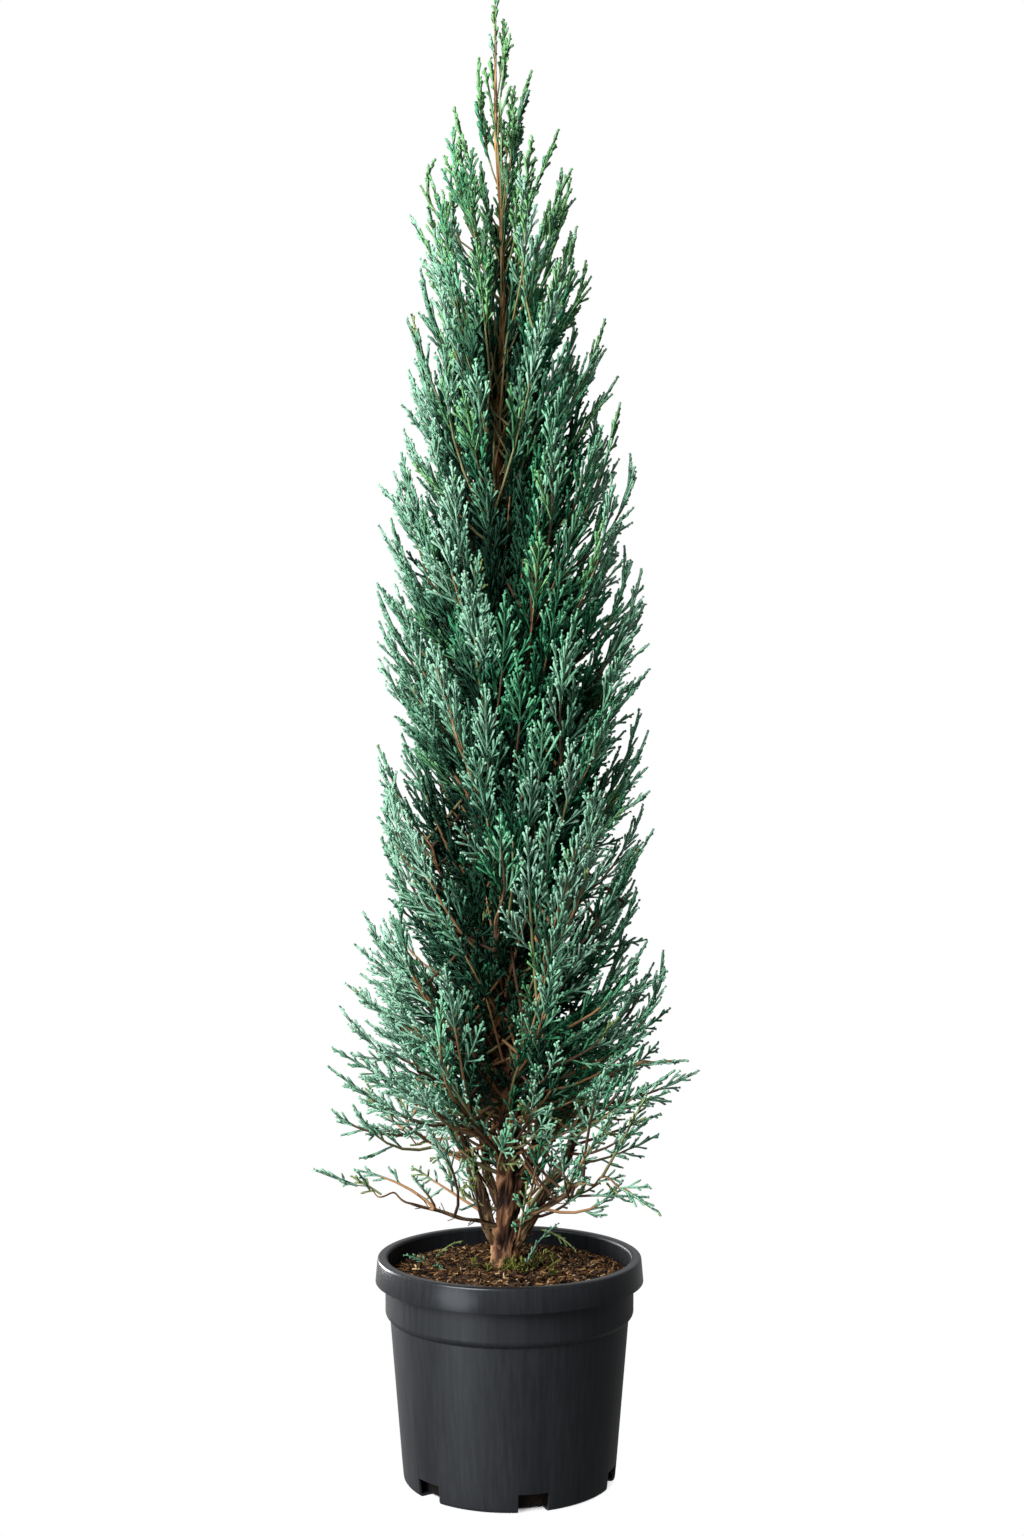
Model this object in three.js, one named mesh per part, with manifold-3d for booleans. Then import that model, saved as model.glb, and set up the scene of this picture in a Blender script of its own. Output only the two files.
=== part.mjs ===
// A columnar juniper in a black nursery pot: a fibrous trunk that runs up to a
// leader, low boughs that fan out over the soil, and upright plumes of scale-leaf
// sprays that make a narrow column. Millimetres, +Z up. The origin is the middle of
// the pot's underside, and +X is the right-hand side of the plant seen from its front.
import * as THREE from "three";
import { mergeVertices } from "three/addons/utils/BufferGeometryUtils.js";
import Module from "manifold-3d";

// Clearance between two pieces that meet.
const GAP = 0.3;

// The pot: a tapered injection-moulded container with a folded rim, a stacking band
// under it and drainage notches round the foot.
const POT_HEIGHT = 235;
const POT_SIDES = 36;
const POT_WALL = 2.6;
const FLOOR_THICKNESS = 3;
const FOOT_RADIUS = 112.5;
const FOOT_CHAMFER = 2;
const SHOULDER_RADIUS = 127;
const SHOULDER_HEIGHT = 172;
const BAND_RADIUS = 132;
const BAND_FOOT_HEIGHT = 177;
const RIM_RADIUS = 142.5;
const RIM_DEPTH = 25;
const RIM_EDGE = 2;
const NOTCH_COUNT = 6;
const NOTCH_WIDTH = 33;
const NOTCH_HEIGHT = 20;
const NOTCH_DEPTH = 14;
const NOTCH_FIRST_AZIMUTH = -77.4;

// The potting mix: filled to just under the rim and mounded towards the trunk.
const SOIL_EDGE_HEIGHT = 211;
const SOIL_HEIGHT = 224;
const SOIL_CROWN_RADIUS = 36;
const SOIL_SLOPE_RADIUS = 84;
const SOIL_SLOPE_HEIGHT = 219;

// The trunk: its axis wanders a little and leans left towards the leader.
const TRUNK_TOP = 1440;
const TRUNK_BASE_RADIUS = 12;
const TRUNK_TOP_RADIUS = 2;
const TRUNK_TAPER = 1.4;
const TRUNK_OFFSET = -4;
const TRUNK_LEAN = -9;
const TRUNK_SWAY = 3.5;
const TRUNK_SWAY_PITCH = 470;
const TRUNK_SWAY_TURN = 0.8;
const FLARE = 1.5;
const FLARE_HEIGHT = 13;
const FLARE_LOBES = 4;
const FLARE_LOBE_DEPTH = 0.16;
const FLARE_LOBE_HEIGHT = 39;
const TRUNK_SIDES = 10;
const TRUNK_RINGS = 18;
// Rings crowd towards the foot, where the flare is.
const TRUNK_CROWDING = 1.7;

// The crown's outline: radius about the trunk at each height.
const CROWN_OUTLINE = [
  { height: 1582, radius: 4 },
  { height: 1530, radius: 18 },
  { height: 1440, radius: 54 },
  { height: 1350, radius: 90 },
  { height: 1150, radius: 106 },
  { height: 960, radius: 134 },
  { height: 640, radius: 140 },
  { height: 500, radius: 176 },
  { height: 430, radius: 200 },
];
const CROWN_TIP = CROWN_OUTLINE[0].height;
const CROWN_SLACK = 8;

// The low boughs that show above the soil. Azimuth is in degrees from +X, turning
// towards the back. A bough leaves the trunk at height from and ends where its foliage
// starts: tip and plume are the reach and height of its end and of its plume's end.
// core is how thick the plume's dense middle is: the lowest plumes are open.
const BOUGHS = [
  { name: "right_outer", azimuth: -8, from: 226, girth: 13, tip: [90, 404], plume: [194, 446], core: 0.6 },
  { name: "right_inner", azimuth: 20, from: 308, girth: 9, tip: [84, 400], plume: [176, 540], core: 1 },
  { name: "right_low", azimuth: -40, from: 264, girth: 8, tip: [88, 318], plume: [200, 306], core: 0 },
  { name: "fork_right", azimuth: -58, from: 384, girth: 15, tip: [46, 470], plume: [150, 700], core: 1 },
  { name: "left_main", azimuth: 164, from: 226, girth: 15, tip: [68, 392], plume: [180, 520], core: 1 },
  { name: "left_inner", azimuth: 188, from: 318, girth: 5, tip: [66, 348], plume: [160, 376], core: 0 },
  { name: "left_low", azimuth: 206, from: 264, girth: 5, tip: [112, 300], plume: [212, 336], core: 0 },
  { name: "left_front", azimuth: 222, from: 330, girth: 9, tip: [78, 415], plume: [184, 474], core: 0.8 },
  { name: "back_left", azimuth: 122, from: 262, girth: 11, tip: [84, 398], plume: [182, 500], core: 1 },
  { name: "back_middle", azimuth: 92, from: 322, girth: 10, tip: [80, 420], plume: [172, 560], core: 1 },
  { name: "back_right", azimuth: 56, from: 264, girth: 11, tip: [86, 392], plume: [186, 470], core: 0.8 },
];
const BOUGH_TIP_SHARE = 0.55;
const BOUGH_LIFT = 0.06;
const BOUGH_SIDES = 6;
const BOUGH_RINGS = 6;

// The plumes that leave the trunk, from the lowest to the highest.
const TRUNK_PLUMES = 26;
const LOWEST_PLUME_TIP = 600;
const HIGHEST_PLUME_TIP = 1490;
const FIRST_PLUME_AZIMUTH = -144;
const GOLDEN_ANGLE = 137.508;
const LEAN_AT_FOOT = 40;
const LEAN_AT_TIP = 19;
const PLUME_ELBOW = { reach: 0.58, rise: 0.3 };
const BOUGH_PLUME_ELBOW = 0.4;
// Shares of a foot plume's stem, core and sprays that are left on the highest plume.
const TOP_STEM_SHARE = 0.6;
const TOP_CORE_SHARE = 0.5;
const TOP_SPRAY_SHARE = 0.7;
const LEADER_SHARE = 0.45;
// A stem's thickness where it meets a bough's tip, as a share of the bough's.
const STEM_FIT = 0.94;

// How a plume branches: one stem in a core of dense foliage, twigs by the golden angle,
// and sprays on the twigs, on the core and at the tip.
const STEM_RADIUS = 3.4;
const STEM_TIP_RADIUS = 0.9;
const STEM_SIDES = 3;
const STEM_RINGS = 4;
const CORE_RADIUS = 34;
const CORE_START = 0.14;
const CORE_END = 0.96;
const CORE_SIDES = 5;
const CORE_RINGS = 4;
const TWIGS_PER_PLUME = 3;
const TWIG_START = 0.3;
const TWIG_END = 0.75;
const TWIG_TILT = 43;
const TWIG_LENGTH = 96;
const TWIG_RADIUS = 1.9;
const TWIG_TIP_RADIUS = 0.9;
const TWIG_UPTURN = 0.5;
// Where along a twig its sprays root, and the side spray's share of the end spray.
const TWIG_END_SPRAY = 0.9;
const TWIG_SIDE_SPRAY = 0.6;
const SIDE_SPRAY_SHARE = 0.85;
// Where along the stem sprays stand on the core, and how deep they root in it.
const CORE_SPRAYS = [0.34, 0.44, 0.54, 0.63, 0.72, 0.8];
const CORE_SPRAY_ROOT = 0.6;
// The most of a stem's length that its last spray takes.
const TIP_SPRAY_SHARE = 0.7;
const SPRAY_TILT = 36;
const SPRAY_UPTURN = 0.35;
const SPRAY_LENGTH = 90;
const SPRAY_WIDTH = 36;
const SPRAY_THICKNESS = 8;
const SPRAY_ROOT = 1;
const SPRAY_WIDEST = 0.38;
const SPRAY_SPACING = 9;
// A twig or spray that leaves its space is tried at these shares of its length.
const SHORTENINGS = [1, 0.75, 0.52];
const SPACE_MARGIN = 3;
const LIMB_MARGIN = 2;

const COLOURS = { pot: 0x2c2e31, soil: 0x4a3323, bark: 0x6d4a35, foliage: 0x4f8a78 };
const UP = new THREE.Vector3(0, 0, 1);

const wasm = await Module();
wasm.setup();

const radians = THREE.MathUtils.degToRad;
const lerp = THREE.MathUtils.lerp;

// A repeatable stream of numbers from 0 to 1.
function seededRandom(seed) {
  let state = seed >>> 0;
  return () => {
    state = (state + 0x6d2b79f5) >>> 0;
    let mixed = Math.imul(state ^ (state >>> 15), state | 1);
    mixed ^= mixed + Math.imul(mixed ^ (mixed >>> 7), mixed | 61);
    return ((mixed ^ (mixed >>> 14)) >>> 0) / 4294967296;
  };
}

// A closed geometry as a solid that can be joined and cut.
function solidOf(geometry) {
  const bare = geometry.clone();
  bare.deleteAttribute("normal");
  bare.deleteAttribute("uv");
  const merged = mergeVertices(bare, 1e-4);
  const vertProperties = merged.attributes.position.array;
  const triVerts = new Uint32Array(merged.index.array);
  return new wasm.Manifold(new wasm.Mesh({ numProp: 3, vertProperties, triVerts }));
}

// The largest body of a solid, without sealed hollows and loose scraps.
function mainBody(solid) {
  return solid.decompose().reduce((best, body) => (body.volume() > best.volume() ? body : best));
}

function geometryOf(solid) {
  const mesh = solid.getMesh();
  const geometry = new THREE.BufferGeometry();
  geometry.setAttribute("position", new THREE.BufferAttribute(mesh.vertProperties, mesh.numProp));
  geometry.setIndex(new THREE.BufferAttribute(mesh.triVerts, 1));
  geometry.computeVertexNormals();
  return geometry;
}

// A profile of [radius, height] corners turned about the vertical axis.
function turned(corners) {
  const profile = corners.map(([radius, height]) => new THREE.Vector2(radius, height));
  return new THREE.LatheGeometry(profile, POT_SIDES).rotateX(Math.PI / 2);
}

// A direction square to another, rolled about it.
function sideways(way, roll) {
  const side = new THREE.Vector3().crossVectors(way, UP);
  if (side.lengthSq() < 1e-6) side.set(1, 0, 0);
  return side.normalize().applyAxisAngle(way, roll);
}

// A direction tilted from another by that angle, rolled about it.
function tilted(way, roll, tilt) {
  const side = sideways(way, roll);
  return way.clone().multiplyScalar(Math.cos(tilt)).addScaledVector(side, Math.sin(tilt)).normalize();
}

// The rings of a limb: for each its middle and two directions across, carried along the
// curve without twist.
function limbRings(curve, rings) {
  let across = sideways(curve.getTangent(0), 0);
  return Array.from({ length: rings + 1 }, (_, ring) => {
    const way = curve.getTangent(ring / rings);
    across = across.clone().addScaledVector(way, -across.dot(way)).normalize();
    const upright = new THREE.Vector3().crossVectors(across, way);
    return { middle: curve.getPoint(ring / rings), across, upright };
  });
}

// A tapering limb along a curve: a cylinder bent to it, with radiusAt(share, angle).
function limb(curve, sides, rings, radiusAt) {
  const geometry = new THREE.CylinderGeometry(1, 1, 1, sides, rings);
  const frames = limbRings(curve, rings);
  const position = geometry.attributes.position;
  const corner = new THREE.Vector3();
  for (let i = 0; i < position.count; i++) {
    corner.fromBufferAttribute(position, i);
    const ring = Math.round((corner.y + 0.5) * rings);
    const onAxis = Math.hypot(corner.x, corner.z) < 0.5;
    const angle = Math.atan2(corner.z, corner.x);
    const radius = onAxis ? 0 : radiusAt(ring / rings, angle);
    const { middle, across, upright } = frames[ring];
    const place = middle.clone().addScaledVector(across, radius * Math.cos(angle));
    place.addScaledVector(upright, radius * Math.sin(angle));
    position.setXYZ(i, place.x, place.y, place.z);
  }
  return geometry;
}

// Pot and potting mix

function innerWall(height) {
  if (height >= BAND_FOOT_HEIGHT) return BAND_RADIUS - POT_WALL;
  const share = Math.min(1, height / SHOULDER_HEIGHT);
  return lerp(FOOT_RADIUS, SHOULDER_RADIUS, share) - POT_WALL;
}

function potSolid() {
  const lipUnder = POT_HEIGHT - POT_WALL;
  const rimInner = RIM_RADIUS - POT_WALL;
  const body = solidOf(
    turned([
      [0, 0],
      [FOOT_RADIUS - FOOT_CHAMFER, 0],
      [FOOT_RADIUS, FOOT_CHAMFER],
      [SHOULDER_RADIUS, SHOULDER_HEIGHT],
      [BAND_RADIUS, BAND_FOOT_HEIGHT],
      [BAND_RADIUS, lipUnder],
      [rimInner, lipUnder],
      [rimInner, POT_HEIGHT - RIM_DEPTH],
      [RIM_RADIUS, POT_HEIGHT - RIM_DEPTH],
      [RIM_RADIUS, POT_HEIGHT - RIM_EDGE],
      [RIM_RADIUS - RIM_EDGE, POT_HEIGHT],
      [BAND_RADIUS - POT_WALL + RIM_EDGE, POT_HEIGHT],
      [innerWall(POT_HEIGHT), POT_HEIGHT - RIM_EDGE],
      [innerWall(BAND_FOOT_HEIGHT), BAND_FOOT_HEIGHT],
      [innerWall(SHOULDER_HEIGHT), SHOULDER_HEIGHT],
      [innerWall(FLOOR_THICKNESS), FLOOR_THICKNESS],
      [0, FLOOR_THICKNESS],
    ]),
  );
  // The cutters run past the wall and the floor.
  const overshoot = 4;
  const notches = Array.from({ length: NOTCH_COUNT }, (_, i) => {
    const azimuth = radians(NOTCH_FIRST_AZIMUTH + (360 / NOTCH_COUNT) * i);
    const box = new THREE.BoxGeometry(NOTCH_DEPTH + overshoot, NOTCH_WIDTH, NOTCH_HEIGHT + overshoot);
    box.translate(FOOT_RADIUS + (overshoot - NOTCH_DEPTH) / 2, 0, (NOTCH_HEIGHT - overshoot) / 2);
    return solidOf(box.rotateZ(azimuth));
  });
  return body.subtract(wasm.Manifold.union(notches));
}

function soilSolid() {
  const floor = FLOOR_THICKNESS + GAP;
  return solidOf(
    turned([
      [0, floor],
      [innerWall(floor) - GAP, floor],
      [innerWall(SHOULDER_HEIGHT) - GAP, SHOULDER_HEIGHT],
      [innerWall(BAND_FOOT_HEIGHT) - GAP, BAND_FOOT_HEIGHT + GAP],
      [innerWall(SOIL_EDGE_HEIGHT) - GAP, SOIL_EDGE_HEIGHT],
      [SOIL_SLOPE_RADIUS, SOIL_SLOPE_HEIGHT],
      [SOIL_CROWN_RADIUS, SOIL_HEIGHT],
      [0, SOIL_HEIGHT],
    ]),
  );
}

// Trunk

const TRUNK_FOOT = SOIL_HEIGHT + GAP;

class TrunkAxis extends THREE.Curve {
  getPoint(share) {
    return trunkAt(lerp(TRUNK_FOOT, TRUNK_TOP, Math.pow(share, TRUNK_CROWDING)));
  }
}

function trunkAt(height) {
  const share = (height - TRUNK_FOOT) / (TRUNK_TOP - TRUNK_FOOT);
  const phase = (2 * Math.PI * (height - TRUNK_FOOT)) / TRUNK_SWAY_PITCH;
  const x = TRUNK_OFFSET + TRUNK_LEAN * share * share + TRUNK_SWAY * Math.sin(phase);
  const y = TRUNK_SWAY * Math.sin(phase * TRUNK_SWAY_TURN) * share;
  return new THREE.Vector3(x, y, height);
}

function trunkRadius(height) {
  const share = THREE.MathUtils.clamp((height - TRUNK_FOOT) / (TRUNK_TOP - TRUNK_FOOT), 0, 1);
  const stem = lerp(TRUNK_TOP_RADIUS, TRUNK_BASE_RADIUS, Math.pow(1 - share, TRUNK_TAPER));
  return stem + FLARE * Math.exp((TRUNK_FOOT - height) / FLARE_HEIGHT);
}

// The trunk, or the space it takes with some extra all round.
function trunkSolid(extra) {
  const axis = new TrunkAxis();
  const radiusAt = (share, angle) => {
    const height = axis.getPoint(share).z;
    const lobe = FLARE_LOBE_DEPTH * Math.exp((TRUNK_FOOT - height) / FLARE_LOBE_HEIGHT);
    return trunkRadius(height) * (1 + lobe * Math.cos(FLARE_LOBES * angle)) + extra;
  };
  const geometry = limb(axis, TRUNK_SIDES, TRUNK_RINGS, radiusAt);
  // The foot is a flat cut, level with the soil.
  const position = geometry.attributes.position;
  const firstRing = axis.getPoint(0.5 / TRUNK_RINGS).z;
  for (let i = 0; i < position.count; i++) {
    if (position.getZ(i) < firstRing) position.setZ(i, TRUNK_FOOT);
  }
  return solidOf(geometry);
}

// Boughs

function polar(azimuth, reach, height) {
  const angle = radians(azimuth);
  const middle = trunkAt(Math.min(height, TRUNK_TOP));
  return new THREE.Vector3(middle.x + reach * Math.cos(angle), middle.y + reach * Math.sin(angle), height);
}

// A bough's axis, from the trunk's axis to its tip, lifting as it goes.
function boughAxis(bough) {
  const start = trunkAt(bough.from);
  const tip = polar(bough.azimuth, ...bough.tip);
  const bend = start.clone().lerp(tip, 0.5);
  bend.z -= BOUGH_LIFT * (tip.z - start.z);
  return new THREE.QuadraticBezierCurve3(start, bend, tip);
}

function boughRadius(bough, share) {
  return (bough.girth / 2) * lerp(1, BOUGH_TIP_SHARE, share);
}

// Plumes

function crownRadius(height) {
  const top = CROWN_OUTLINE.findIndex((corner) => corner.height <= height);
  if (top < 0) return CROWN_OUTLINE.at(-1).radius;
  if (top === 0) return 0;
  const above = CROWN_OUTLINE[top - 1];
  const below = CROWN_OUTLINE[top];
  const share = (height - below.height) / (above.height - below.height);
  return lerp(below.radius, above.radius, share);
}

// The stems of all plumes, each with the curve it follows, its thickness at the root
// and the thickness of its core.
function plumeStems() {
  const stems = BOUGHS.map((bough) => {
    const axis = boughAxis(bough);
    const way = axis.getTangent(1);
    const root = axis.getPoint(1).addScaledVector(way, GAP);
    const tip = polar(bough.azimuth, ...bough.plume);
    const elbow = root.clone().addScaledVector(way, BOUGH_PLUME_ELBOW * root.distanceTo(tip));
    const curve = new THREE.QuadraticBezierCurve3(root, elbow, tip);
    const radius = boughRadius(bough, 1) * STEM_FIT;
    return { name: bough.name, curve, radius, core: CORE_RADIUS * bough.core, size: 1, onTrunk: false };
  });
  for (let i = 0; i < TRUNK_PLUMES; i++) {
    const share = i / (TRUNK_PLUMES - 1);
    const height = lerp(LOWEST_PLUME_TIP, HIGHEST_PLUME_TIP, share);
    const reach = crownRadius(height);
    const rise = reach / Math.tan(radians(lerp(LEAN_AT_FOOT, LEAN_AT_TIP, share)));
    const azimuth = FIRST_PLUME_AZIMUTH + GOLDEN_ANGLE * i;
    const root = trunkAt(height - rise);
    const elbow = polar(azimuth, PLUME_ELBOW.reach * reach, height - rise * (1 - PLUME_ELBOW.rise));
    const tip = polar(azimuth, reach, height);
    const curve = new THREE.QuadraticBezierCurve3(root, elbow, tip);
    const name = String(i + 1).padStart(2, "0");
    const radius = STEM_RADIUS * lerp(1, TOP_STEM_SHARE, share);
    const core = CORE_RADIUS * lerp(1, TOP_CORE_SHARE, share * share);
    const size = lerp(1, TOP_SPRAY_SHARE, share * share);
    stems.push({ name, curve, radius, core, size, onTrunk: true });
  }
  const root = trunkAt(TRUNK_TOP).addScaledVector(UP, GAP);
  const curve = new THREE.LineCurve3(root, new THREE.Vector3(root.x, root.y, CROWN_TIP));
  const radius = TRUNK_TOP_RADIUS * STEM_FIT;
  stems.push({ name: "leader", curve, radius, core: 0, size: LEADER_SHARE, onTrunk: false });
  return stems;
}

const STEM_SAMPLES = 14;
const stems = plumeStems();
const stemPoints = stems.map((stem) => stem.curve.getPoints(STEM_SAMPLES));
const boughPoints = BOUGHS.map((bough) => boughAxis(bough).getPoints(STEM_SAMPLES));

// How far a point lies from a run of points joined by straight lines.
const stretch = new THREE.Line3();
const nearest = new THREE.Vector3();
function distanceToRun(point, run) {
  let least = Infinity;
  for (let i = 1; i < run.length; i++) {
    stretch.set(run[i - 1], run[i]).closestPointToPoint(point, true, nearest);
    least = Math.min(least, nearest.distanceTo(point));
  }
  return least;
}

// How far a point lies from the skin of the trunk and the boughs.
function limbClearance(point) {
  const trunk = trunkAt(THREE.MathUtils.clamp(point.z, TRUNK_FOOT, TRUNK_TOP));
  const toBoughs = boughPoints.map((run, i) => distanceToRun(point, run) - BOUGHS[i].girth / 2);
  return Math.min(point.distanceTo(trunk) - trunkRadius(point.z), ...toBoughs);
}

function distanceToOtherStems(point, own) {
  return Math.min(...stemPoints.map((run, i) => (i === own ? Infinity : distanceToRun(point, run))));
}

function insideCrown(point) {
  const trunk = trunkAt(Math.min(point.z, TRUNK_TOP));
  const reach = Math.hypot(point.x - trunk.x, point.y - trunk.y);
  return point.z <= CROWN_TIP && reach <= crownRadius(point.z) + CROWN_SLACK;
}

// A plume's own space: nearer to its stem than to any other, clear of trunk and boughs,
// and inside the crown.
function inOwnSpace(point, own, margin) {
  if (!insideCrown(point) || limbClearance(point) < LIMB_MARGIN + margin) return false;
  const mine = distanceToRun(point, stemPoints[own]);
  return distanceToOtherStems(point, own) > mine + 2 * (SPACE_MARGIN + margin);
}

// The corners of a spray of scale leaves: one flat blade with its face turned outwards.
function sprayCorners(root, way, size) {
  const outward = new THREE.Vector3(root.x, root.y, 0).normalize();
  const facing = Math.abs(way.dot(outward)) < 0.8 ? outward : UP;
  const across = new THREE.Vector3().crossVectors(way, facing).normalize();
  const face = new THREE.Vector3().crossVectors(across, way).normalize();
  const foot = root.clone().addScaledVector(way, -SPRAY_ROOT);
  const widest = root.clone().addScaledVector(way, SPRAY_LENGTH * size * SPRAY_WIDEST);
  const beside = (direction, width) => widest.clone().addScaledVector(direction, (width * size) / 2);
  return {
    foot,
    tip: root.clone().addScaledVector(way, SPRAY_LENGTH * size),
    left: beside(across, -SPRAY_WIDTH),
    right: beside(across, SPRAY_WIDTH),
    inner: beside(face, -SPRAY_THICKNESS),
    outer: beside(face, SPRAY_THICKNESS),
  };
}

// An eight-sided blade through those corners.
function sprayGeometry({ foot, tip, left, right, inner, outer }) {
  const blade = new THREE.OctahedronGeometry(1);
  const position = blade.attributes.position;
  const corner = new THREE.Vector3();
  for (let i = 0; i < position.count; i++) {
    corner.fromBufferAttribute(position, i);
    const ends = corner.y > 0.5 ? tip : foot;
    const sides = corner.x > 0.5 ? right : left;
    const faces = corner.z > 0.5 ? outer : inner;
    const place = Math.abs(corner.y) > 0.5 ? ends : Math.abs(corner.x) > 0.5 ? sides : faces;
    position.setXYZ(i, place.x, place.y, place.z);
  }
  return blade;
}

// Adds a spray at its largest size that keeps to the plume's space and off the plume's
// other sprays, or none.
function addSpray(plume, root, way, size) {
  for (const shorter of SHORTENINGS) {
    const corners = sprayCorners(root, way, size * shorter);
    const { tip, left, right } = corners;
    const edge = [left, right, tip, left.clone().lerp(tip, 0.5), right.clone().lerp(tip, 0.5)];
    const clearOf = (point) => plume.sprays.every((run) => distanceToRun(point, run) > SPRAY_SPACING);
    if (edge.every((point) => clearOf(point) && inOwnSpace(point, plume.own, 0))) {
      plume.sprays.push([root, tip]);
      plume.solids.push(solidOf(sprayGeometry(corners)));
      return;
    }
  }
}

// Adds a twig with its sprays, shortened until it keeps to the plume's space, or none.
function addTwig(plume, root, way, length) {
  const end = way.clone().addScaledVector(UP, TWIG_UPTURN).normalize();
  for (const shorter of SHORTENINGS) {
    const reach = length * shorter;
    const elbow = root.clone().addScaledVector(way, reach / 2);
    const tip = elbow.clone().addScaledVector(end, reach / 2);
    const curve = new THREE.QuadraticBezierCurve3(root, elbow, tip);
    const free = curve.getPoints(6).slice(2);
    if (!free.every((point) => inOwnSpace(point, plume.own, TWIG_RADIUS))) continue;
    const size = plume.size * lerp(0.75, 1, shorter) * lerp(0.85, 1.1, plume.random());
    const side = plume.random() < 0.5 ? 0 : Math.PI;
    const sideWay = tilted(curve.getTangent(TWIG_SIDE_SPRAY), side, radians(SPRAY_TILT));
    plume.solids.push(solidOf(limb(curve, 3, 2, (share) => lerp(TWIG_RADIUS, TWIG_TIP_RADIUS, share))));
    addSpray(plume, curve.getPoint(TWIG_END_SPRAY), end, size);
    addSpray(plume, curve.getPoint(TWIG_SIDE_SPRAY), sideWay, size * SIDE_SPRAY_SHARE);
    return;
  }
}

// The core's radius along the stem: a spindle, narrowed where a neighbour is near.
function coreRadius(plume, curve, share) {
  const point = curve.getPoint(share);
  const room = (distanceToOtherStems(point, plume.own) - 2 * SPACE_MARGIN) / 2;
  const clear = limbClearance(point) - LIMB_MARGIN;
  const along = (share - CORE_START) / (CORE_END - CORE_START);
  const spindle = plume.core * Math.sin(Math.PI * THREE.MathUtils.clamp(along, 0, 1));
  return Math.max(STEM_TIP_RADIUS / 2, Math.min(spindle, room, clear));
}

function addCore(plume, curve) {
  const shares = Array.from({ length: CORE_RINGS + 1 }, (_, i) => lerp(CORE_START, CORE_END, i / CORE_RINGS));
  const spine = new THREE.CatmullRomCurve3(shares.map((share) => curve.getPoint(share)));
  const radiusAt = (share) => coreRadius(plume, curve, lerp(CORE_START, CORE_END, share));
  plume.solids.push(solidOf(limb(spine, CORE_SIDES, CORE_RINGS, radiusAt)));
}

function plumeSolid(own, trunkSpace) {
  const { curve, radius, core, size, onTrunk } = stems[own];
  const random = seededRandom(own + 1);
  const stem = limb(curve, STEM_SIDES, STEM_RINGS, (share) => lerp(radius, STEM_TIP_RADIUS, share));
  const plume = { own, random, core, size, sprays: [], solids: [solidOf(stem)] };
  const roll = random() * 2 * Math.PI;
  // The last spray ends at the stem's tip, on the crown's outline.
  const tip = curve.getPoint(1);
  const tipSize = Math.min(size, (TIP_SPRAY_SHARE * curve.getLength()) / SPRAY_LENGTH);
  const last = curve.getPoint(1 - (SPRAY_LENGTH * tipSize) / curve.getLength());
  plume.sprays.push([last, tip]);
  plume.solids.push(solidOf(sprayGeometry(sprayCorners(last, tip.clone().sub(last).normalize(), tipSize))));
  if (core > 0) addCore(plume, curve);
  for (let i = 0; i < TWIGS_PER_PLUME; i++) {
    const share = lerp(TWIG_START, TWIG_END, (i + 0.6 * random()) / (TWIGS_PER_PLUME - 0.4));
    const way = tilted(curve.getTangent(share), roll + radians(GOLDEN_ANGLE) * i, radians(TWIG_TILT));
    const length = TWIG_LENGTH * size * lerp(1, 0.5, share) * lerp(0.85, 1.1, random());
    addTwig(plume, curve.getPoint(share), way, length);
  }
  CORE_SPRAYS.forEach((share, i) => {
    const turn = roll + radians(GOLDEN_ANGLE) * (i + TWIGS_PER_PLUME);
    const way = curve.getTangent(share);
    const sunk = core > 0 ? coreRadius(plume, curve, share) * CORE_SPRAY_ROOT : 0;
    const root = curve.getPoint(share).addScaledVector(sideways(way, turn), sunk);
    const sprayWay = tilted(way, turn, radians(SPRAY_TILT)).addScaledVector(UP, SPRAY_UPTURN).normalize();
    addSpray(plume, root, sprayWay, size);
  });
  const fused = wasm.Manifold.union(plume.solids);
  return mainBody(onTrunk ? fused.subtract(trunkSpace) : fused);
}

// Assembly

const FINISHES = {
  pot: new THREE.MeshStandardMaterial({ color: COLOURS.pot, roughness: 0.55, metalness: 0 }),
  soil: new THREE.MeshStandardMaterial({ color: COLOURS.soil, roughness: 1, metalness: 0 }),
  bark: new THREE.MeshStandardMaterial({ color: COLOURS.bark, roughness: 0.95, metalness: 0 }),
  foliage: new THREE.MeshStandardMaterial({ color: COLOURS.foliage, roughness: 0.7, metalness: 0 }),
};

function named(name, solid, finish) {
  const mesh = new THREE.Mesh(geometryOf(solid), FINISHES[finish]);
  mesh.name = name;
  return mesh;
}

const container = new THREE.Group();
container.add(named("pot", potSolid(), "pot"));
container.add(named("soil", soilSolid(), "soil"));

const wood = new THREE.Group();
const trunkSpace = trunkSolid(GAP);
wood.add(named("trunk", trunkSolid(0), "bark"));
for (const bough of BOUGHS) {
  const whole = limb(boughAxis(bough), BOUGH_SIDES, BOUGH_RINGS, (share) => boughRadius(bough, share));
  wood.add(named("bough_" + bough.name, mainBody(solidOf(whole).subtract(trunkSpace)), "bark"));
}

const crown = new THREE.Group();
stems.forEach((stem, own) => {
  crown.add(named("plume_" + stem.name, plumeSolid(own, trunkSpace), "foliage"));
});

const juniper = new THREE.Group();
juniper.add(container, wood, crown);

export default juniper;
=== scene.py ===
"""A columnar juniper in a black nursery pot: moulded plastic, a bark mix, shredding bark and
blue-green sprays of scale leaves, grown on the limbs of the frame."""

import math

import bmesh
import bpy
import numpy as np
from mathutils import Matrix, Vector, noise


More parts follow.
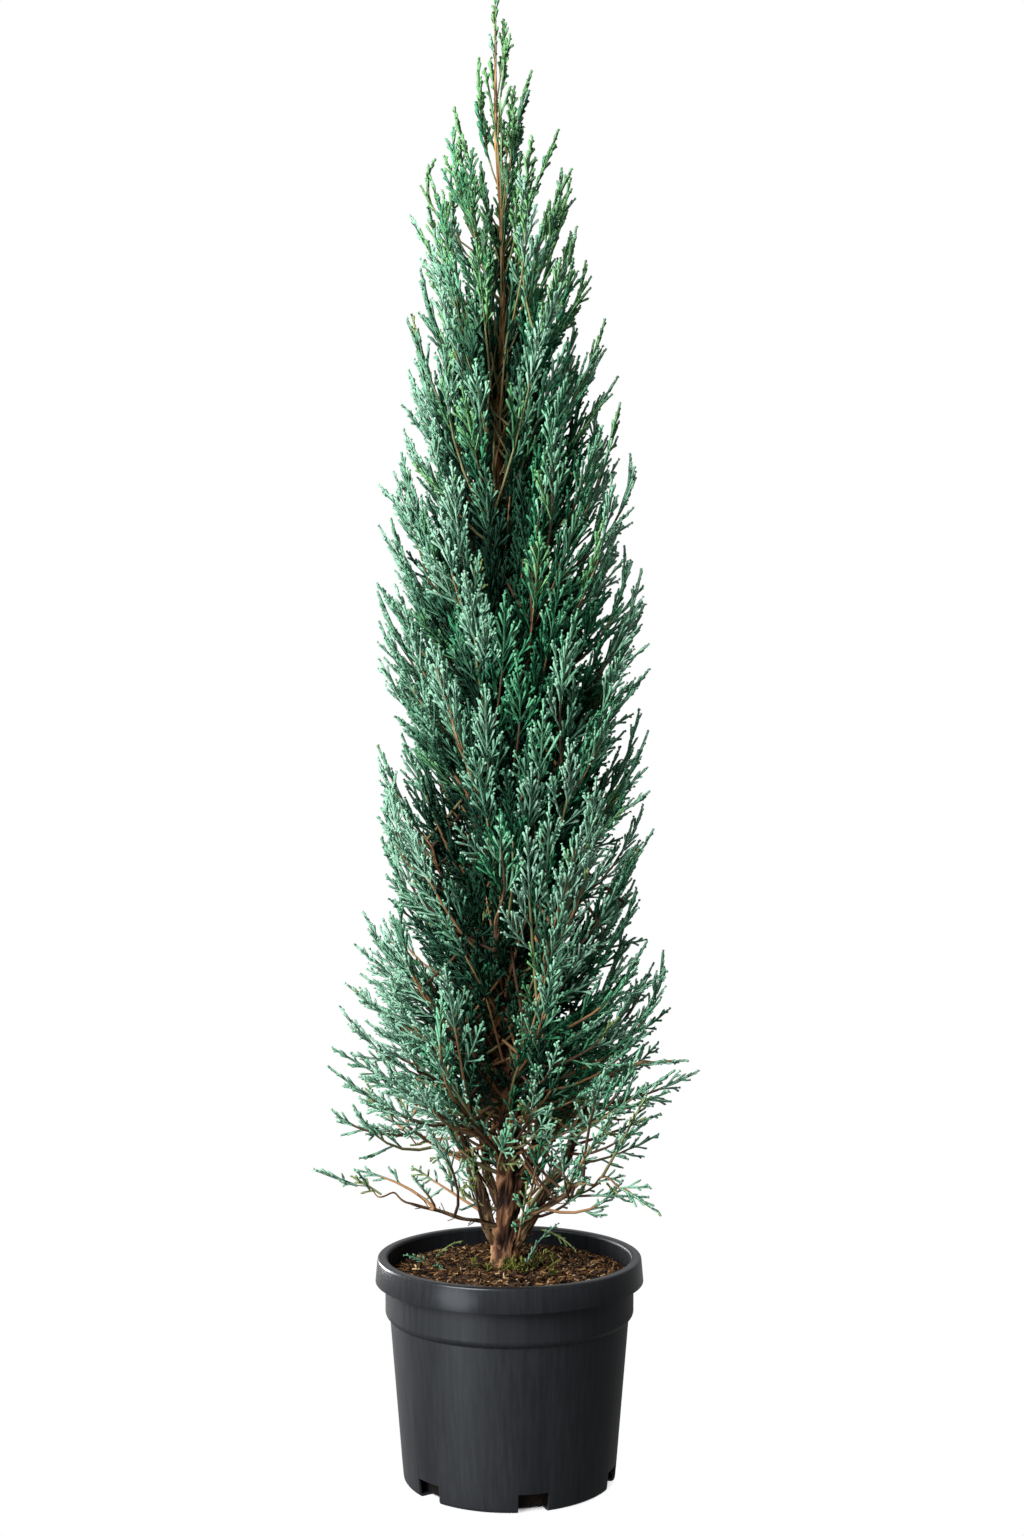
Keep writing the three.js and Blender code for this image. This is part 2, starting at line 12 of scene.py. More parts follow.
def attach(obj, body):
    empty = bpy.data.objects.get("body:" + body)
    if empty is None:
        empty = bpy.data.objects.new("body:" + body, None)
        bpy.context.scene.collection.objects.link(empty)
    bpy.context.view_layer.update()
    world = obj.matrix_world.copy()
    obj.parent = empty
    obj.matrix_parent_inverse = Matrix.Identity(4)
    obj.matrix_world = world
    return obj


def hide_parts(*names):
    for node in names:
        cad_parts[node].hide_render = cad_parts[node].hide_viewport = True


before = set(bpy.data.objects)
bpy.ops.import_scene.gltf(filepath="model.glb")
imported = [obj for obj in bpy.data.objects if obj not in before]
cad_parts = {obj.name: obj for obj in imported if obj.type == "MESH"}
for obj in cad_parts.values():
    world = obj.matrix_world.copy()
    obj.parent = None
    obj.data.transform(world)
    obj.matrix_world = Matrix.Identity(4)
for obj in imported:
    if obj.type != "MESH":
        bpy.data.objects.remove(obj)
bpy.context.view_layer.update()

# Studio
# A white ground with a broad soft light from the upper left front, one from the back left and a
# weak low one for the pot. The room's glow fades to the right and to the floor, and the floor is
# a white sheet that fades into the ground close round the pot.
PHOTO_HEIGHT = 1536
FOCAL_PIXELS = 2012
SENSOR_WIDTH = 36
CAMERA_DISTANCE = 2.145
CAMERA_HEIGHT = 0.754
CAMERA_OFFSET = 0.0027
WHITE = (1, 1, 1, 1)
ROOM_GLOW_LEFT = 0.68
ROOM_GLOW_RIGHT = 0.23
FLOOR_GLOW_RISE = (-0.4, -0.05)
FLOOR_GLOW_SHARE = 0.55
FLOOR_RADIUS = 3
FLOOR_STEPS = 96
FLOOR_FADE = (0.095, 0.113)


def placed(name, content):
    thing = bpy.data.objects.new(name, content)
    bpy.context.collection.objects.link(thing)
    return thing


camera = bpy.data.cameras.new("camera")
camera.sensor_width = SENSOR_WIDTH
camera.lens = SENSOR_WIDTH * FOCAL_PIXELS / PHOTO_HEIGHT
camera_stand = placed("camera", camera)
camera_stand.location = (CAMERA_OFFSET, -CAMERA_DISTANCE, CAMERA_HEIGHT)
camera_stand.rotation_euler = (math.radians(90), 0, 0)
bpy.context.scene.camera = camera_stand
bpy.context.scene.view_settings.view_transform = "Standard"


def add_node(owner, kind, sockets=()):
    made = owner.node_tree.nodes.new(kind)
    for socket, value in dict(sockets).items():
        made.inputs[socket].default_value = value
    return made


def wire(owner, *links):
    for source, output, target, goal in links:
        owner.node_tree.links.new(source.outputs[output], target.inputs[goal])


studio = bpy.data.worlds.new("studio")
studio.use_nodes = True
room_light = studio.node_tree.nodes["Background"]
room_light.inputs["Color"].default_value = WHITE
room_place = add_node(studio, "ShaderNodeTexCoord")
room_sides = add_node(studio, "ShaderNodeSeparateXYZ")
room_glow = add_node(studio, "ShaderNodeMapRange",
                     {"From Min": -1, "To Min": ROOM_GLOW_LEFT, "To Max": ROOM_GLOW_RIGHT})
floor_glow = add_node(studio, "ShaderNodeMapRange", {
    "From Min": FLOOR_GLOW_RISE[0], "From Max": FLOOR_GLOW_RISE[1], "To Min": FLOOR_GLOW_SHARE})
whole_glow = add_node(studio, "ShaderNodeMath")
whole_glow.operation = "MULTIPLY"
white_ground = add_node(studio, "ShaderNodeBackground", {"Color": WHITE, "Strength": 1})
seen_straight = add_node(studio, "ShaderNodeLightPath")
ground_mix = add_node(studio, "ShaderNodeMixShader")
wire(studio,
     (room_place, "Generated", room_sides, 0),
     (room_sides, "X", room_glow, "Value"),
     (room_sides, "Z", floor_glow, "Value"),
     (room_glow, "Result", whole_glow, 0),
     (floor_glow, "Result", whole_glow, 1),
     (whole_glow, "Value", room_light, "Strength"),
     (seen_straight, "Is Camera Ray", ground_mix, 0),
     (room_light, "Background", ground_mix, 1),
     (white_ground, "Background", ground_mix, 2),
     (ground_mix, "Shader", studio.node_tree.nodes["World Output"], "Surface"))
bpy.context.scene.world = studio


def soft_light(name, place, target, size, power):
    light = bpy.data.lights.new(name, "AREA")
    light.shape = "DISK"
    light.size = size
    light.energy = power
    lamp = placed(name, light)
    lamp.location = place
    lamp.rotation_euler = (Vector(target) - Vector(place)).to_track_quat("-Z", "Y").to_euler()


soft_light("key_light", (-1.9, -2.2, 2.3), (0, 0, 0.75), size=2.4, power=250)
soft_light("side_light", (-2.0, 1.9, 0.7), (0, 0, 0.6), size=1.5, power=105)
soft_light("low_light", (-1.8, -1.8, -0.22), (0, 0, 0.2), size=1.4, power=23)


def shader_of(material):
    return material.node_tree.nodes["Principled BSDF"]


def finish(name, colour, roughness, specular):
    material = bpy.data.materials.new(name)
    material.use_nodes = True
    shader_of(material).inputs["Base Color"].default_value = (*colour, 1)
    shader_of(material).inputs["Roughness"].default_value = roughness
    shader_of(material).inputs["Specular IOR Level"].default_value = specular
    return material


white_sheet = finish("white_sheet", (0.9, 0.9, 0.9), roughness=0.9, specular=0.1)
sheet_place = add_node(white_sheet, "ShaderNodeTexCoord")
sheet_reach = add_node(white_sheet, "ShaderNodeVectorMath")
sheet_reach.operation = "LENGTH"
sheet_fade = add_node(white_sheet, "ShaderNodeMapRange",
                      {"From Min": FLOOR_FADE[0], "From Max": FLOOR_FADE[1]})
sheet_clear = add_node(white_sheet, "ShaderNodeBsdfTransparent")
sheet_mix = add_node(white_sheet, "ShaderNodeMixShader")
wire(white_sheet,
     (sheet_place, "Object", sheet_reach, 0),
     (sheet_reach, "Value", sheet_fade, "Value"),
     (sheet_fade, "Result", sheet_mix, 0),
     (shader_of(white_sheet), "BSDF", sheet_mix, 1),
     (sheet_clear, "BSDF", sheet_mix, 2),
     (sheet_mix, "Shader", white_sheet.node_tree.nodes["Material Output"], "Surface"))


def formed_mesh(form, name, *materials):
    mesh = bpy.data.meshes.new(name)
    form.to_mesh(mesh)
    form.free()
    for material in materials:
        mesh.materials.append(material)
    mesh.shade_smooth()
    return mesh


floor_form = bmesh.new()
bmesh.ops.create_circle(floor_form, cap_ends=True, segments=FLOOR_STEPS, radius=FLOOR_RADIUS)
floor = placed("floor", formed_mesh(floor_form, "floor", white_sheet))

# Pot
# A ten-litre nursery pot moulded in black plastic. The thin wall tapers to the foot, steps out
# to a stacking band and folds over at the rim, and drainage notches are cut through the foot.
POT_HEIGHT = 0.235
POT_WALL = 0.0026
FOOT_RADIUS = 0.1125
FOOT_ROUNDING = 0.002
SHOULDER_RADIUS = 0.127
SHOULDER_HEIGHT = 0.172
SHOULDER_ROUNDING = 0.0006
BAND_RADIUS = 0.132
BAND_FOOT_HEIGHT = 0.177
BAND_ROUNDING = 0.002
MOUTH_ROUNDING = 0.003
RIM_RADIUS = 0.1425
RIM_DEPTH = 0.025
RIM_SLOPE = 0.0022
RIM_ROUNDING = 0.0026
NOTCH_COUNT = 6
NOTCH_HALF_ANGLE = 8
NOTCH_HEIGHT = 0.020
NOTCH_DEPTH = 0.014
NOTCH_FIRST_AZIMUTH = -77.4
ROUNDING_STEPS = 5
EDGE_ROUNDING = 0.0006
SHARP_ANGLE = math.radians(50)
POT_STEPS = 180
MERGE_DISTANCE = 1e-6
INNER_SHADE_TOP = 0.0025
INWARD_SHARE = -0.5
SCUFF_STRETCH = (230, 230, 7)
BODY_GLOSS = (0.42, 0.52)
RIM_GLOSS = (0.22, 0.30)
PLASTIC_SPECULAR = 0.31
INSIDE_SPECULAR = 0.05
INSIDE, RIM = 1, 2


def rounded_profile(corners):
    """The (radius, height) points of an outline whose corners are rounded by their third number."""
    points = []
    for i, (radius, height, rounding) in enumerate(corners):
        corner = Vector((radius, 0, height))
        if not rounding:
            points.append(corner)
            continue
        before = Vector((corners[i - 1][0], 0, corners[i - 1][1])) - corner
        after = Vector((corners[i + 1][0], 0, corners[i + 1][1])) - corner
        start = corner + before.normalized() * rounding
        end = corner + after.normalized() * rounding
        for step in range(ROUNDING_STEPS):
            share = step / (ROUNDING_STEPS - 1)
            points.append(start.lerp(corner, share).lerp(corner.lerp(end, share), share))
    return points


def spun(profile, steps):
    form = bmesh.new()
    rings = [form.verts.new(point) for point in profile]
    edges = [form.edges.new(pair) for pair in zip(rings, rings[1:])]
    bmesh.ops.spin(form, geom=rings + edges, cent=(0, 0, 0), axis=(0, 0, 1),
                   angle=math.tau, steps=steps, use_merge=True)
    bmesh.ops.remove_doubles(form, verts=form.verts, dist=MERGE_DISTANCE)
    bmesh.ops.recalc_face_normals(form, faces=form.faces)
    return form


def plant_piece(name, mesh, nodes=()):
    piece = placed(name, mesh)
    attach(piece, "root")
    if nodes:
        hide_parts(*nodes)


def in_notch(face):
    """True for a face of the wall or the floor that a drainage notch takes away."""
    centre = face.calc_center_median()
    radius = math.hypot(centre.x, centre.y)
    azimuth = math.degrees(math.atan2(centre.y, centre.x)) - NOTCH_FIRST_AZIMUTH
    pitch = 360 / NOTCH_COUNT
    beside = abs((azimuth + pitch / 2) % pitch - pitch / 2) < NOTCH_HALF_ANGLE
    return beside and centre.z < NOTCH_HEIGHT and radius > FOOT_RADIUS - POT_WALL - NOTCH_DEPTH


inner_foot = FOOT_RADIUS - POT_WALL
inner_band = BAND_RADIUS - POT_WALL
notch_share = NOTCH_HEIGHT / SHOULDER_HEIGHT
pot_form = spun(rounded_profile([
    (0, POT_WALL, 0),
    (inner_foot - NOTCH_DEPTH, POT_WALL, 0),
    (inner_foot, POT_WALL, FOOT_ROUNDING),
    (inner_foot + (SHOULDER_RADIUS - FOOT_RADIUS) * notch_share, NOTCH_HEIGHT, 0),
    (SHOULDER_RADIUS - POT_WALL, SHOULDER_HEIGHT, SHOULDER_ROUNDING),
    (inner_band, BAND_FOOT_HEIGHT, BAND_ROUNDING),
    (inner_band, POT_HEIGHT, MOUTH_ROUNDING),
    (RIM_RADIUS - RIM_SLOPE, POT_HEIGHT, RIM_ROUNDING),
    (RIM_RADIUS, POT_HEIGHT - RIM_DEPTH, 0),
]), POT_STEPS)
bmesh.ops.rotate(pot_form, verts=pot_form.verts, cent=(0, 0, 0),
                 matrix=Matrix.Rotation(math.radians(NOTCH_FIRST_AZIMUTH), 3, "Z"))
bmesh.ops.delete(pot_form, geom=[face for face in pot_form.faces if in_notch(face)], context="FACES")
bmesh.ops.solidify(pot_form, geom=pot_form.faces[:], thickness=POT_WALL)
sharp_edges = [edge for edge in pot_form.edges
               if len(edge.link_faces) == 2 and edge.calc_face_angle() > SHARP_ANGLE]
bmesh.ops.bevel(pot_form, geom=sharp_edges, offset=EDGE_ROUNDING, offset_type="OFFSET", affect="EDGES",
                segments=2, profile=0.5, material=-1, clamp_overlap=True)


def grain(material, scale, detail, roughness=0.5, stretch=(1, 1, 1)):
    """Noise in the object's own place, drawn out by the stretch."""
    place = add_node(material, "ShaderNodeTexCoord")
    drawn = add_node(material, "ShaderNodeMapping", {"Scale": stretch})
    specks = add_node(material, "ShaderNodeTexNoise",
                      {"Scale": scale, "Detail": detail, "Roughness": roughness})
    wire(material, (place, "Object", drawn, "Vector"), (drawn, "Vector", specks, "Vector"))
    return specks


def toned(material, source, output, stops):
    """Gives a finish its base colour: a source's values are led through stops of tones."""
    tone = add_node(material, "ShaderNodeValToRGB")
    elements = tone.color_ramp.elements
    for position, colour in stops[1:-1]:
        elements.new(position).color = (*colour, 1)
    for end in (0, -1):
        elements[end].position = stops[end][0]
        elements[end].color = (*stops[end][1], 1)
    wire(material, (source, output, tone, "Fac"), (tone, "Color", shader_of(material), "Base Color"))


def bumped(material, source, strength, distance):
    bump = add_node(material, "ShaderNodeBump", {"Strength": strength, "Distance": distance})
    wire(material, (source, "Fac", bump, "Height"), (bump, "Normal", shader_of(material), "Normal"))


def plastic(name, specular, gloss):
    """Black plastic, finely grained, with scuffs along the draw of the mould."""
    material = finish(name, (0.01, 0.011, 0.012), 0.36, specular)
    shader_of(material).inputs["Specular Tint"].default_value = (0.88, 0.94, 1.0, 1)
    scuff = grain(material, 1, detail=6, roughness=0.65, stretch=SCUFF_STRETCH)
    toned(material, scuff, "Fac", [(0.38, (0.0085, 0.0092, 0.0108)), (0.72, (0.0155, 0.0168, 0.0195))])
    shine = add_node(material, "ShaderNodeMapRange", {"To Min": gloss[0], "To Max": gloss[1]})
    wire(material, (scuff, "Fac", shine, "Value"), (shine, "Result", shader_of(material), "Roughness"))
    bumped(material, grain(material, 900, detail=2), strength=0.12, distance=0.0004)
    return material


for face in pot_form.faces:
    centre = face.calc_center_median()
    reach = math.hypot(centre.x, centre.y)
    inward = face.normal.x * centre.x + face.normal.y * centre.y < INWARD_SHARE * reach
    if inward and centre.z < POT_HEIGHT - INNER_SHADE_TOP:
        face.material_index = INSIDE
    elif reach > BAND_RADIUS and centre.z > POT_HEIGHT - RIM_DEPTH:
        face.material_index = RIM
pot_mesh = formed_mesh(pot_form, "pot_shell", plastic("black_plastic", PLASTIC_SPECULAR, BODY_GLOSS),
                       plastic("shaded_plastic", INSIDE_SPECULAR, BODY_GLOSS),
                       plastic("rim_plastic", PLASTIC_SPECULAR, RIM_GLOSS))
plant_piece("pot_shell", pot_mesh, ["pot"])

# Soil
# A peat and bark mix pressed into the pot and mounded a little to the trunk. Loose chips of
# bark lie over it, most of them dark and damp, with a few pale dry ones.
SOIL_EDGE_HEIGHT = 0.215
SOIL_HEIGHT = 0.224
SOIL_CROWN_RADIUS = 0.036
SOIL_FALL = 1.3
SOIL_FIT = 0.0006
SOIL_STEPS = 160
SOIL_RINGS = 48
CLOD_HEIGHT = 0.0035
CLOD_PITCH = 120
CLOD_OCTAVES = 4
CLOD_MARGIN = 0.001
TRUNK_CLEARING = 0.02
NOTCH_RECESS = 0.009
NOTCH_LEDGE = 0.001
CHIP_COUNT = 9500
CHIP_MARGIN = 0.006
CHIP_LENGTHS = (0.0016, 0.011)
CHIP_WIDTHS = (0.09, 0.32)
CHIP_THICKNESSES = (0.06, 0.18)
CHIP_RAGGEDNESS = (0.55, 1.15)
CHIP_PITCH = 0.35
CHIP_ROLL = 0.4
CHIP_LIFTS = (-0.001, 0.0025)
CHIP_TONES = {
    "black": (0.009, 0.005, 0.003),
    "brown": (0.060, 0.030, 0.012),
    "red": (0.125, 0.060, 0.024),
    "tan": (0.26, 0.145, 0.062),
    "pale": (0.50, 0.35, 0.20),
}
CHIP_SHARES = (0.40, 0.27, 0.17, 0.125, 0.035)


def between(limits, share):
    return limits[0] + (limits[1] - limits[0]) * share


def soil_level(radius):
    """The height of the bed before its clods, flat round the trunk and falling to the wall."""
    fall = np.clip((radius - SOIL_CROWN_RADIUS) / (inner_band - SOIL_CROWN_RADIUS), 0, 1)
    return between((SOIL_HEIGHT, SOIL_EDGE_HEIGHT), fall ** SOIL_FALL)


soil_top = [Vector((share * (inner_band - SOIL_FIT), 0, soil_level(share * inner_band)))
            for share in np.linspace(0, 1, SOIL_RINGS)]
soil_side = [Vector((radius - SOIL_FIT, 0, height)) for radius, height in (
    (inner_band, BAND_FOOT_HEIGHT),
    (SHOULDER_RADIUS - POT_WALL, SHOULDER_HEIGHT),
    (inner_foot + NOTCH_LEDGE, NOTCH_HEIGHT + NOTCH_RECESS),
    (inner_foot - NOTCH_RECESS, NOTCH_HEIGHT),
    (inner_foot - NOTCH_RECESS, POT_WALL + SOIL_FIT),
    (SOIL_FIT, POT_WALL + SOIL_FIT),
)]
soil_form = spun(soil_top + soil_side, SOIL_STEPS)
for vert in soil_form.verts:
    if vert.co.z > SOIL_EDGE_HEIGHT - CLOD_MARGIN:
        reach = math.hypot(vert.co.x, vert.co.y)
        clod = noise.fractal(vert.co * CLOD_PITCH, 1.0, 2.0, CLOD_OCTAVES)
        vert.co.z += CLOD_HEIGHT * clod * min(1, reach / TRUNK_CLEARING)


def bark_mix(name, hollow, crumb):
    """Crumbs of peat and bark, from the tone of the hollows to that of the crumbs."""
    material = finish(name, (0.035, 0.018, 0.010), 0.95, 0.2)
    crumbs = grain(material, 260, detail=5, roughness=0.7)
    toned(material, crumbs, "Fac", [(0.35, hollow), (0.7, crumb)])
    bumped(material, crumbs, strength=0.8, distance=0.002)
    return material


# The bed below the pot's shoulder, seen only through the drainage notches, takes a near-black mix: painted
# shade in the notches.
for face in soil_form.faces:
    face.material_index = int(face.calc_center_median().z < SHOULDER_HEIGHT)
soil_mesh = formed_mesh(soil_form, "soil_bed",
                        bark_mix("bark_mix", (0.008, 0.004, 0.003), (0.085, 0.045, 0.026)),
                        bark_mix("notch_shade_mix", (0.002, 0.0015, 0.001), (0.016, 0.010, 0.006)))
plant_piece("soil_bed", soil_mesh, ["soil"])


def array_mesh(name, points, quads, triangles, tints, materials, smooth=True):
    """A mesh of four-cornered and three-cornered faces from arrays, quads first, tinted by face."""
    corners = np.concatenate([quads.ravel(), triangles.ravel()]).astype(np.int32)
    starts = np.concatenate([np.arange(len(quads)) * 4, len(quads) * 4 + np.arange(len(triangles)) * 3])
    mesh = bpy.data.meshes.new(name)
    mesh.vertices.add(len(points))
    mesh.vertices.foreach_set("co", points.astype(np.float32).ravel())
    mesh.loops.add(len(corners))
    mesh.loops.foreach_set("vertex_index", corners)
    mesh.polygons.add(len(starts))
    mesh.polygons.foreach_set("loop_start", starts.astype(np.int32))
    mesh.polygons.foreach_set("material_index", tints.astype(np.int32))
    mesh.polygons.foreach_set("use_smooth", np.full(len(starts), smooth))
    for material in materials:
        mesh.materials.append(material)
    mesh.update(calc_edges=True)
    mesh.validate()
    return mesh


def finishes(prefix, tones, roughness, specular):
    return [finish(f"{prefix}_{name}", colour, roughness, specular) for name, colour in tones.items()]


def turned(yaw, pitch, roll):
    """One turning matrix for each set of angles."""
    cos_yaw, cos_pitch, cos_roll = np.cos((yaw, pitch, roll))
    sin_yaw, sin_pitch, sin_roll = np.sin((yaw, pitch, roll))
    rows = np.array([
        [cos_yaw * cos_pitch, cos_yaw * sin_pitch * sin_roll - sin_yaw * cos_roll,
         cos_yaw * sin_pitch * cos_roll + sin_yaw * sin_roll],
        [sin_yaw * cos_pitch, sin_yaw * sin_pitch * sin_roll + cos_yaw * cos_roll,
         sin_yaw * sin_pitch * cos_roll - cos_yaw * sin_roll],
        [-sin_pitch, cos_pitch * sin_roll, cos_pitch * cos_roll],
    ])
    return np.moveaxis(rows, 2, 0)


NO_TRIANGLES = np.zeros((0, 3), dtype=int)
BOX_CORNERS = np.array([(x, y, z) for x in (-1, 1) for y in (-1, 1) for z in (-1, 1)]) / 2
BOX_FACES = np.array([(0, 1, 3, 2), (4, 6, 7, 5), (0, 4, 5, 1), (2, 3, 7, 6), (0, 2, 6, 4), (1, 5, 7, 3)])
chip_random = np.random.default_rng(11)
chip_reach = (inner_band - CHIP_MARGIN) * np.sqrt(chip_random.random(CHIP_COUNT))
chip_azimuth = math.tau * chip_random.random(CHIP_COUNT)
chip_length = between(CHIP_LENGTHS, chip_random.random(CHIP_COUNT) ** 2)
chip_size = np.stack([chip_length, chip_length * chip_random.uniform(*CHIP_WIDTHS, CHIP_COUNT),
                      chip_length * chip_random.uniform(*CHIP_THICKNESSES, CHIP_COUNT)], axis=-1)
chip_form = BOX_CORNERS * chip_size[:, None, :] * chip_random.uniform(*CHIP_RAGGEDNESS, (CHIP_COUNT, 8, 3))
chip_turn = turned(chip_random.uniform(0, math.tau, CHIP_COUNT),
                   chip_random.normal(0, CHIP_PITCH, CHIP_COUNT),
                   chip_random.normal(0, CHIP_ROLL, CHIP_COUNT))
chip_place = np.stack([chip_reach * np.cos(chip_azimuth), chip_reach * np.sin(chip_azimuth),
                       soil_level(chip_reach) + chip_random.uniform(*CHIP_LIFTS, CHIP_COUNT)], axis=-1)
chip_points = np.einsum("nij,nkj->nki", chip_turn, chip_form) + chip_place[:, None, :]
chip_faces = (BOX_FACES[None] + 8 * np.arange(CHIP_COUNT)[:, None, None]).reshape(-1, 4)
chip_tint = np.repeat(chip_random.choice(len(CHIP_TONES), CHIP_COUNT, p=CHIP_SHARES), len(BOX_FACES))
chip_mesh = array_mesh("soil_chips", chip_points.reshape(-1, 3), chip_faces, NO_TRIANGLES, chip_tint,
                       finishes("chip", CHIP_TONES, 0.9, 0.1), smooth=False)
plant_piece("soil_chips", chip_mesh)

# Trunk
# One leader from the soil to the tip, leaning a little and swaying. Its reddish bark splits
# into long stringy ridges that twist round the stem and shred at their edges.
TRUNK_FOOT = 0.2243
TRUNK_TOP = 1.440
TRUNK_BASE_RADIUS = 0.012
TRUNK_TOP_RADIUS = 0.002
TRUNK_TAPER = 1.4
TRUNK_OFFSET = -0.004
TRUNK_LEAN = -0.009
TRUNK_SWAY = 0.0035
TRUNK_SWAY_PITCH = 0.470
TRUNK_SWAY_TURN = 0.8
FLARE_RADIUS = 0.0015
FLARE_HEIGHT = 0.013
TRUNK_SINK = 0.004
LOW_TRUNK_TOP = 0.6
LOW_TRUNK_RINGS = 150
HIGH_TRUNK_FOOT = 0.606
HIGH_TRUNK_RINGS = 130
TRUNK_BARK_SEED = 3
TRUNK_SHADE_HEIGHTS = (0.275, 0.34, 0.97, 1.02)
TRUNK_SHADES = (0, 0.34, 0.34, 0)
LEADER_FOOT = 1.02
LEADER_SLIM_HEIGHTS = (0.9, 1.25)
LEADER_SLIMS = (1, 0.92)
BARK_SIDES = 56
BARK_TWIST = 18
STRAND_ROUND = 3.4
STRAND_RISE = 52
STRAND_DEPTH = 0.3
KNOB_ROUND = 0.9
KNOB_RISE = 48
KNOB_DEPTH = 0.48
FIBRE_ROUND = 6
FIBRE_RISE = 105
FIBRE_DEPTH = 0.2
RELIEF_CONTRAST = 1.7
FIBRE_STRETCH = (420, 420, 34)
FIBRE_SHARE = 0.4
SLIGHT = 1e-9


def trunk_at(height):
    """The middle of the trunk at each height, as rows of points."""
    height = np.asarray(height, dtype=float)
    share = (height - TRUNK_FOOT) / (TRUNK_TOP - TRUNK_FOOT)
    phase = math.tau * (height - TRUNK_FOOT) / TRUNK_SWAY_PITCH
    across = TRUNK_OFFSET + TRUNK_LEAN * share ** 2 + TRUNK_SWAY * np.sin(phase)
    back = TRUNK_SWAY * np.sin(TRUNK_SWAY_TURN * phase) * share
    return np.stack([across, back, height], axis=-1)


def trunk_radius(height):
    share = np.clip((height - TRUNK_FOOT) / (TRUNK_TOP - TRUNK_FOOT), 0, 1)
    flare = FLARE_RADIUS * np.exp((TRUNK_FOOT - height) / FLARE_HEIGHT)
    return between((TRUNK_TOP_RADIUS, TRUNK_BASE_RADIUS), (1 - share) ** TRUNK_TAPER) + flare


def unit(ways):
    return ways / np.linalg.norm(ways, axis=-1, keepdims=True)


def barked_limb(axis, radii, seed, depth=1.0, sides=BARK_SIDES):
    """The points of a limb round its axis with strands, knobs and fibres, and their relief 0 to 1."""
    ways = unit(np.gradient(axis, axis=0))
    across = unit(np.cross(ways, (0, 1, 0)) + SLIGHT)
    lift = np.cross(across, ways)
    run = np.concatenate([[0], np.cumsum(np.linalg.norm(np.diff(axis, axis=0), axis=1))])
    angles = math.tau * np.arange(sides) / sides
    relief = np.empty((len(axis), sides))
    for i, height in enumerate(run):
        for j, angle in enumerate(angles):
            turn = angle + BARK_TWIST * height
            around = Vector((math.cos(turn), math.sin(turn), 0))
            up = Vector((seed, 0, height))
            strand = 1 - 2 * abs(noise.noise(around * STRAND_ROUND + up * STRAND_RISE))
            knob = noise.noise(around * KNOB_ROUND + up * KNOB_RISE)
            fibre = noise.noise(around * FIBRE_ROUND + up * FIBRE_RISE)
            relief[i, j] = STRAND_DEPTH * (strand - 0.5) + KNOB_DEPTH * knob + FIBRE_DEPTH * fibre
    rings = np.cos(angles)[:, None] * across[:, None, :] + np.sin(angles)[:, None] * lift[:, None, :]
    points = axis[:, None, :] + rings * (radii[:, None] * (1 + depth * relief))[..., None]
    return points, np.clip(0.5 + relief * RELIEF_CONTRAST, 0, 1)


def ring_quads(rings, sides):
    """The faces between the rings of a tube, each ring having that many points."""
    ring, side = np.meshgrid(np.arange(rings - 1), np.arange(sides), indexing="ij")
    low = ring * sides
    high = low + sides
    after = (side + 1) % sides
    return np.stack([low + side, low + after, high + after, high + side], axis=-1).reshape(-1, 4)


def bark_mesh(name, limbs, materials, limb_tints):
    """One mesh of barked limbs, closed at their ends and tinted by ring, with the relief kept."""
    points, quads, triangles, reliefs, quad_tints, end_tints = [], [], [], [], [], []
    start = 0
    for (rows, relief), ring_tints in zip(limbs, limb_tints):
        rings, sides = relief.shape
        ends = np.stack([rows[0].mean(axis=0), rows[-1].mean(axis=0)])
        side = np.arange(sides)
        after = (side + 1) % sides
        foot, tip = rings * sides, rings * sides + 1
        last = (rings - 1) * sides
        points += [rows.reshape(-1, 3), ends]
        quads.append(ring_quads(rings, sides) + start)
        triangles.append(np.stack([after, side, np.full(sides, foot)], axis=-1) + start)
        triangles.append(np.stack([last + side, last + after, np.full(sides, tip)], axis=-1) + start)
        reliefs += [relief.ravel(), relief[[0, -1]].mean(axis=1)]
        quad_tints.append(np.repeat(ring_tints[:-1], sides))
        end_tints.append(np.repeat(ring_tints[[0, -1]], sides))
        start += rings * sides + 2
    mesh = array_mesh(name, np.concatenate(points), np.concatenate(quads), np.concatenate(triangles),
                      np.concatenate(quad_tints + end_tints), materials)
    kept = mesh.attributes.new("relief", "FLOAT", "POINT")
    kept.data.foreach_set("value", np.concatenate(reliefs).astype(np.float32))
    return mesh


def bark_finish(name, groove, shade, strand, ridge):
    """Stringy bark in four tones from the relief: grooves darkened as painted shade, ridges lightened as wear
    and painted highlight.
    """
    bark = finish(name, strand, 0.9, 0.2)
    relief = add_node(bark, "ShaderNodeAttribute")
    relief.attribute_name = "relief"
    fibres = grain(bark, 1, detail=5, roughness=0.7, stretch=FIBRE_STRETCH)
    blend = add_node(bark, "ShaderNodeMix", {"Factor": FIBRE_SHARE})
    wire(bark, (relief, "Fac", blend, "A"), (fibres, "Fac", blend, "B"))
    toned(bark, blend, "Result", [(0.26, groove), (0.44, shade), (0.58, strand), (0.76, ridge)])
    bumped(bark, fibres, strength=0.7, distance=0.0012)
    return bark


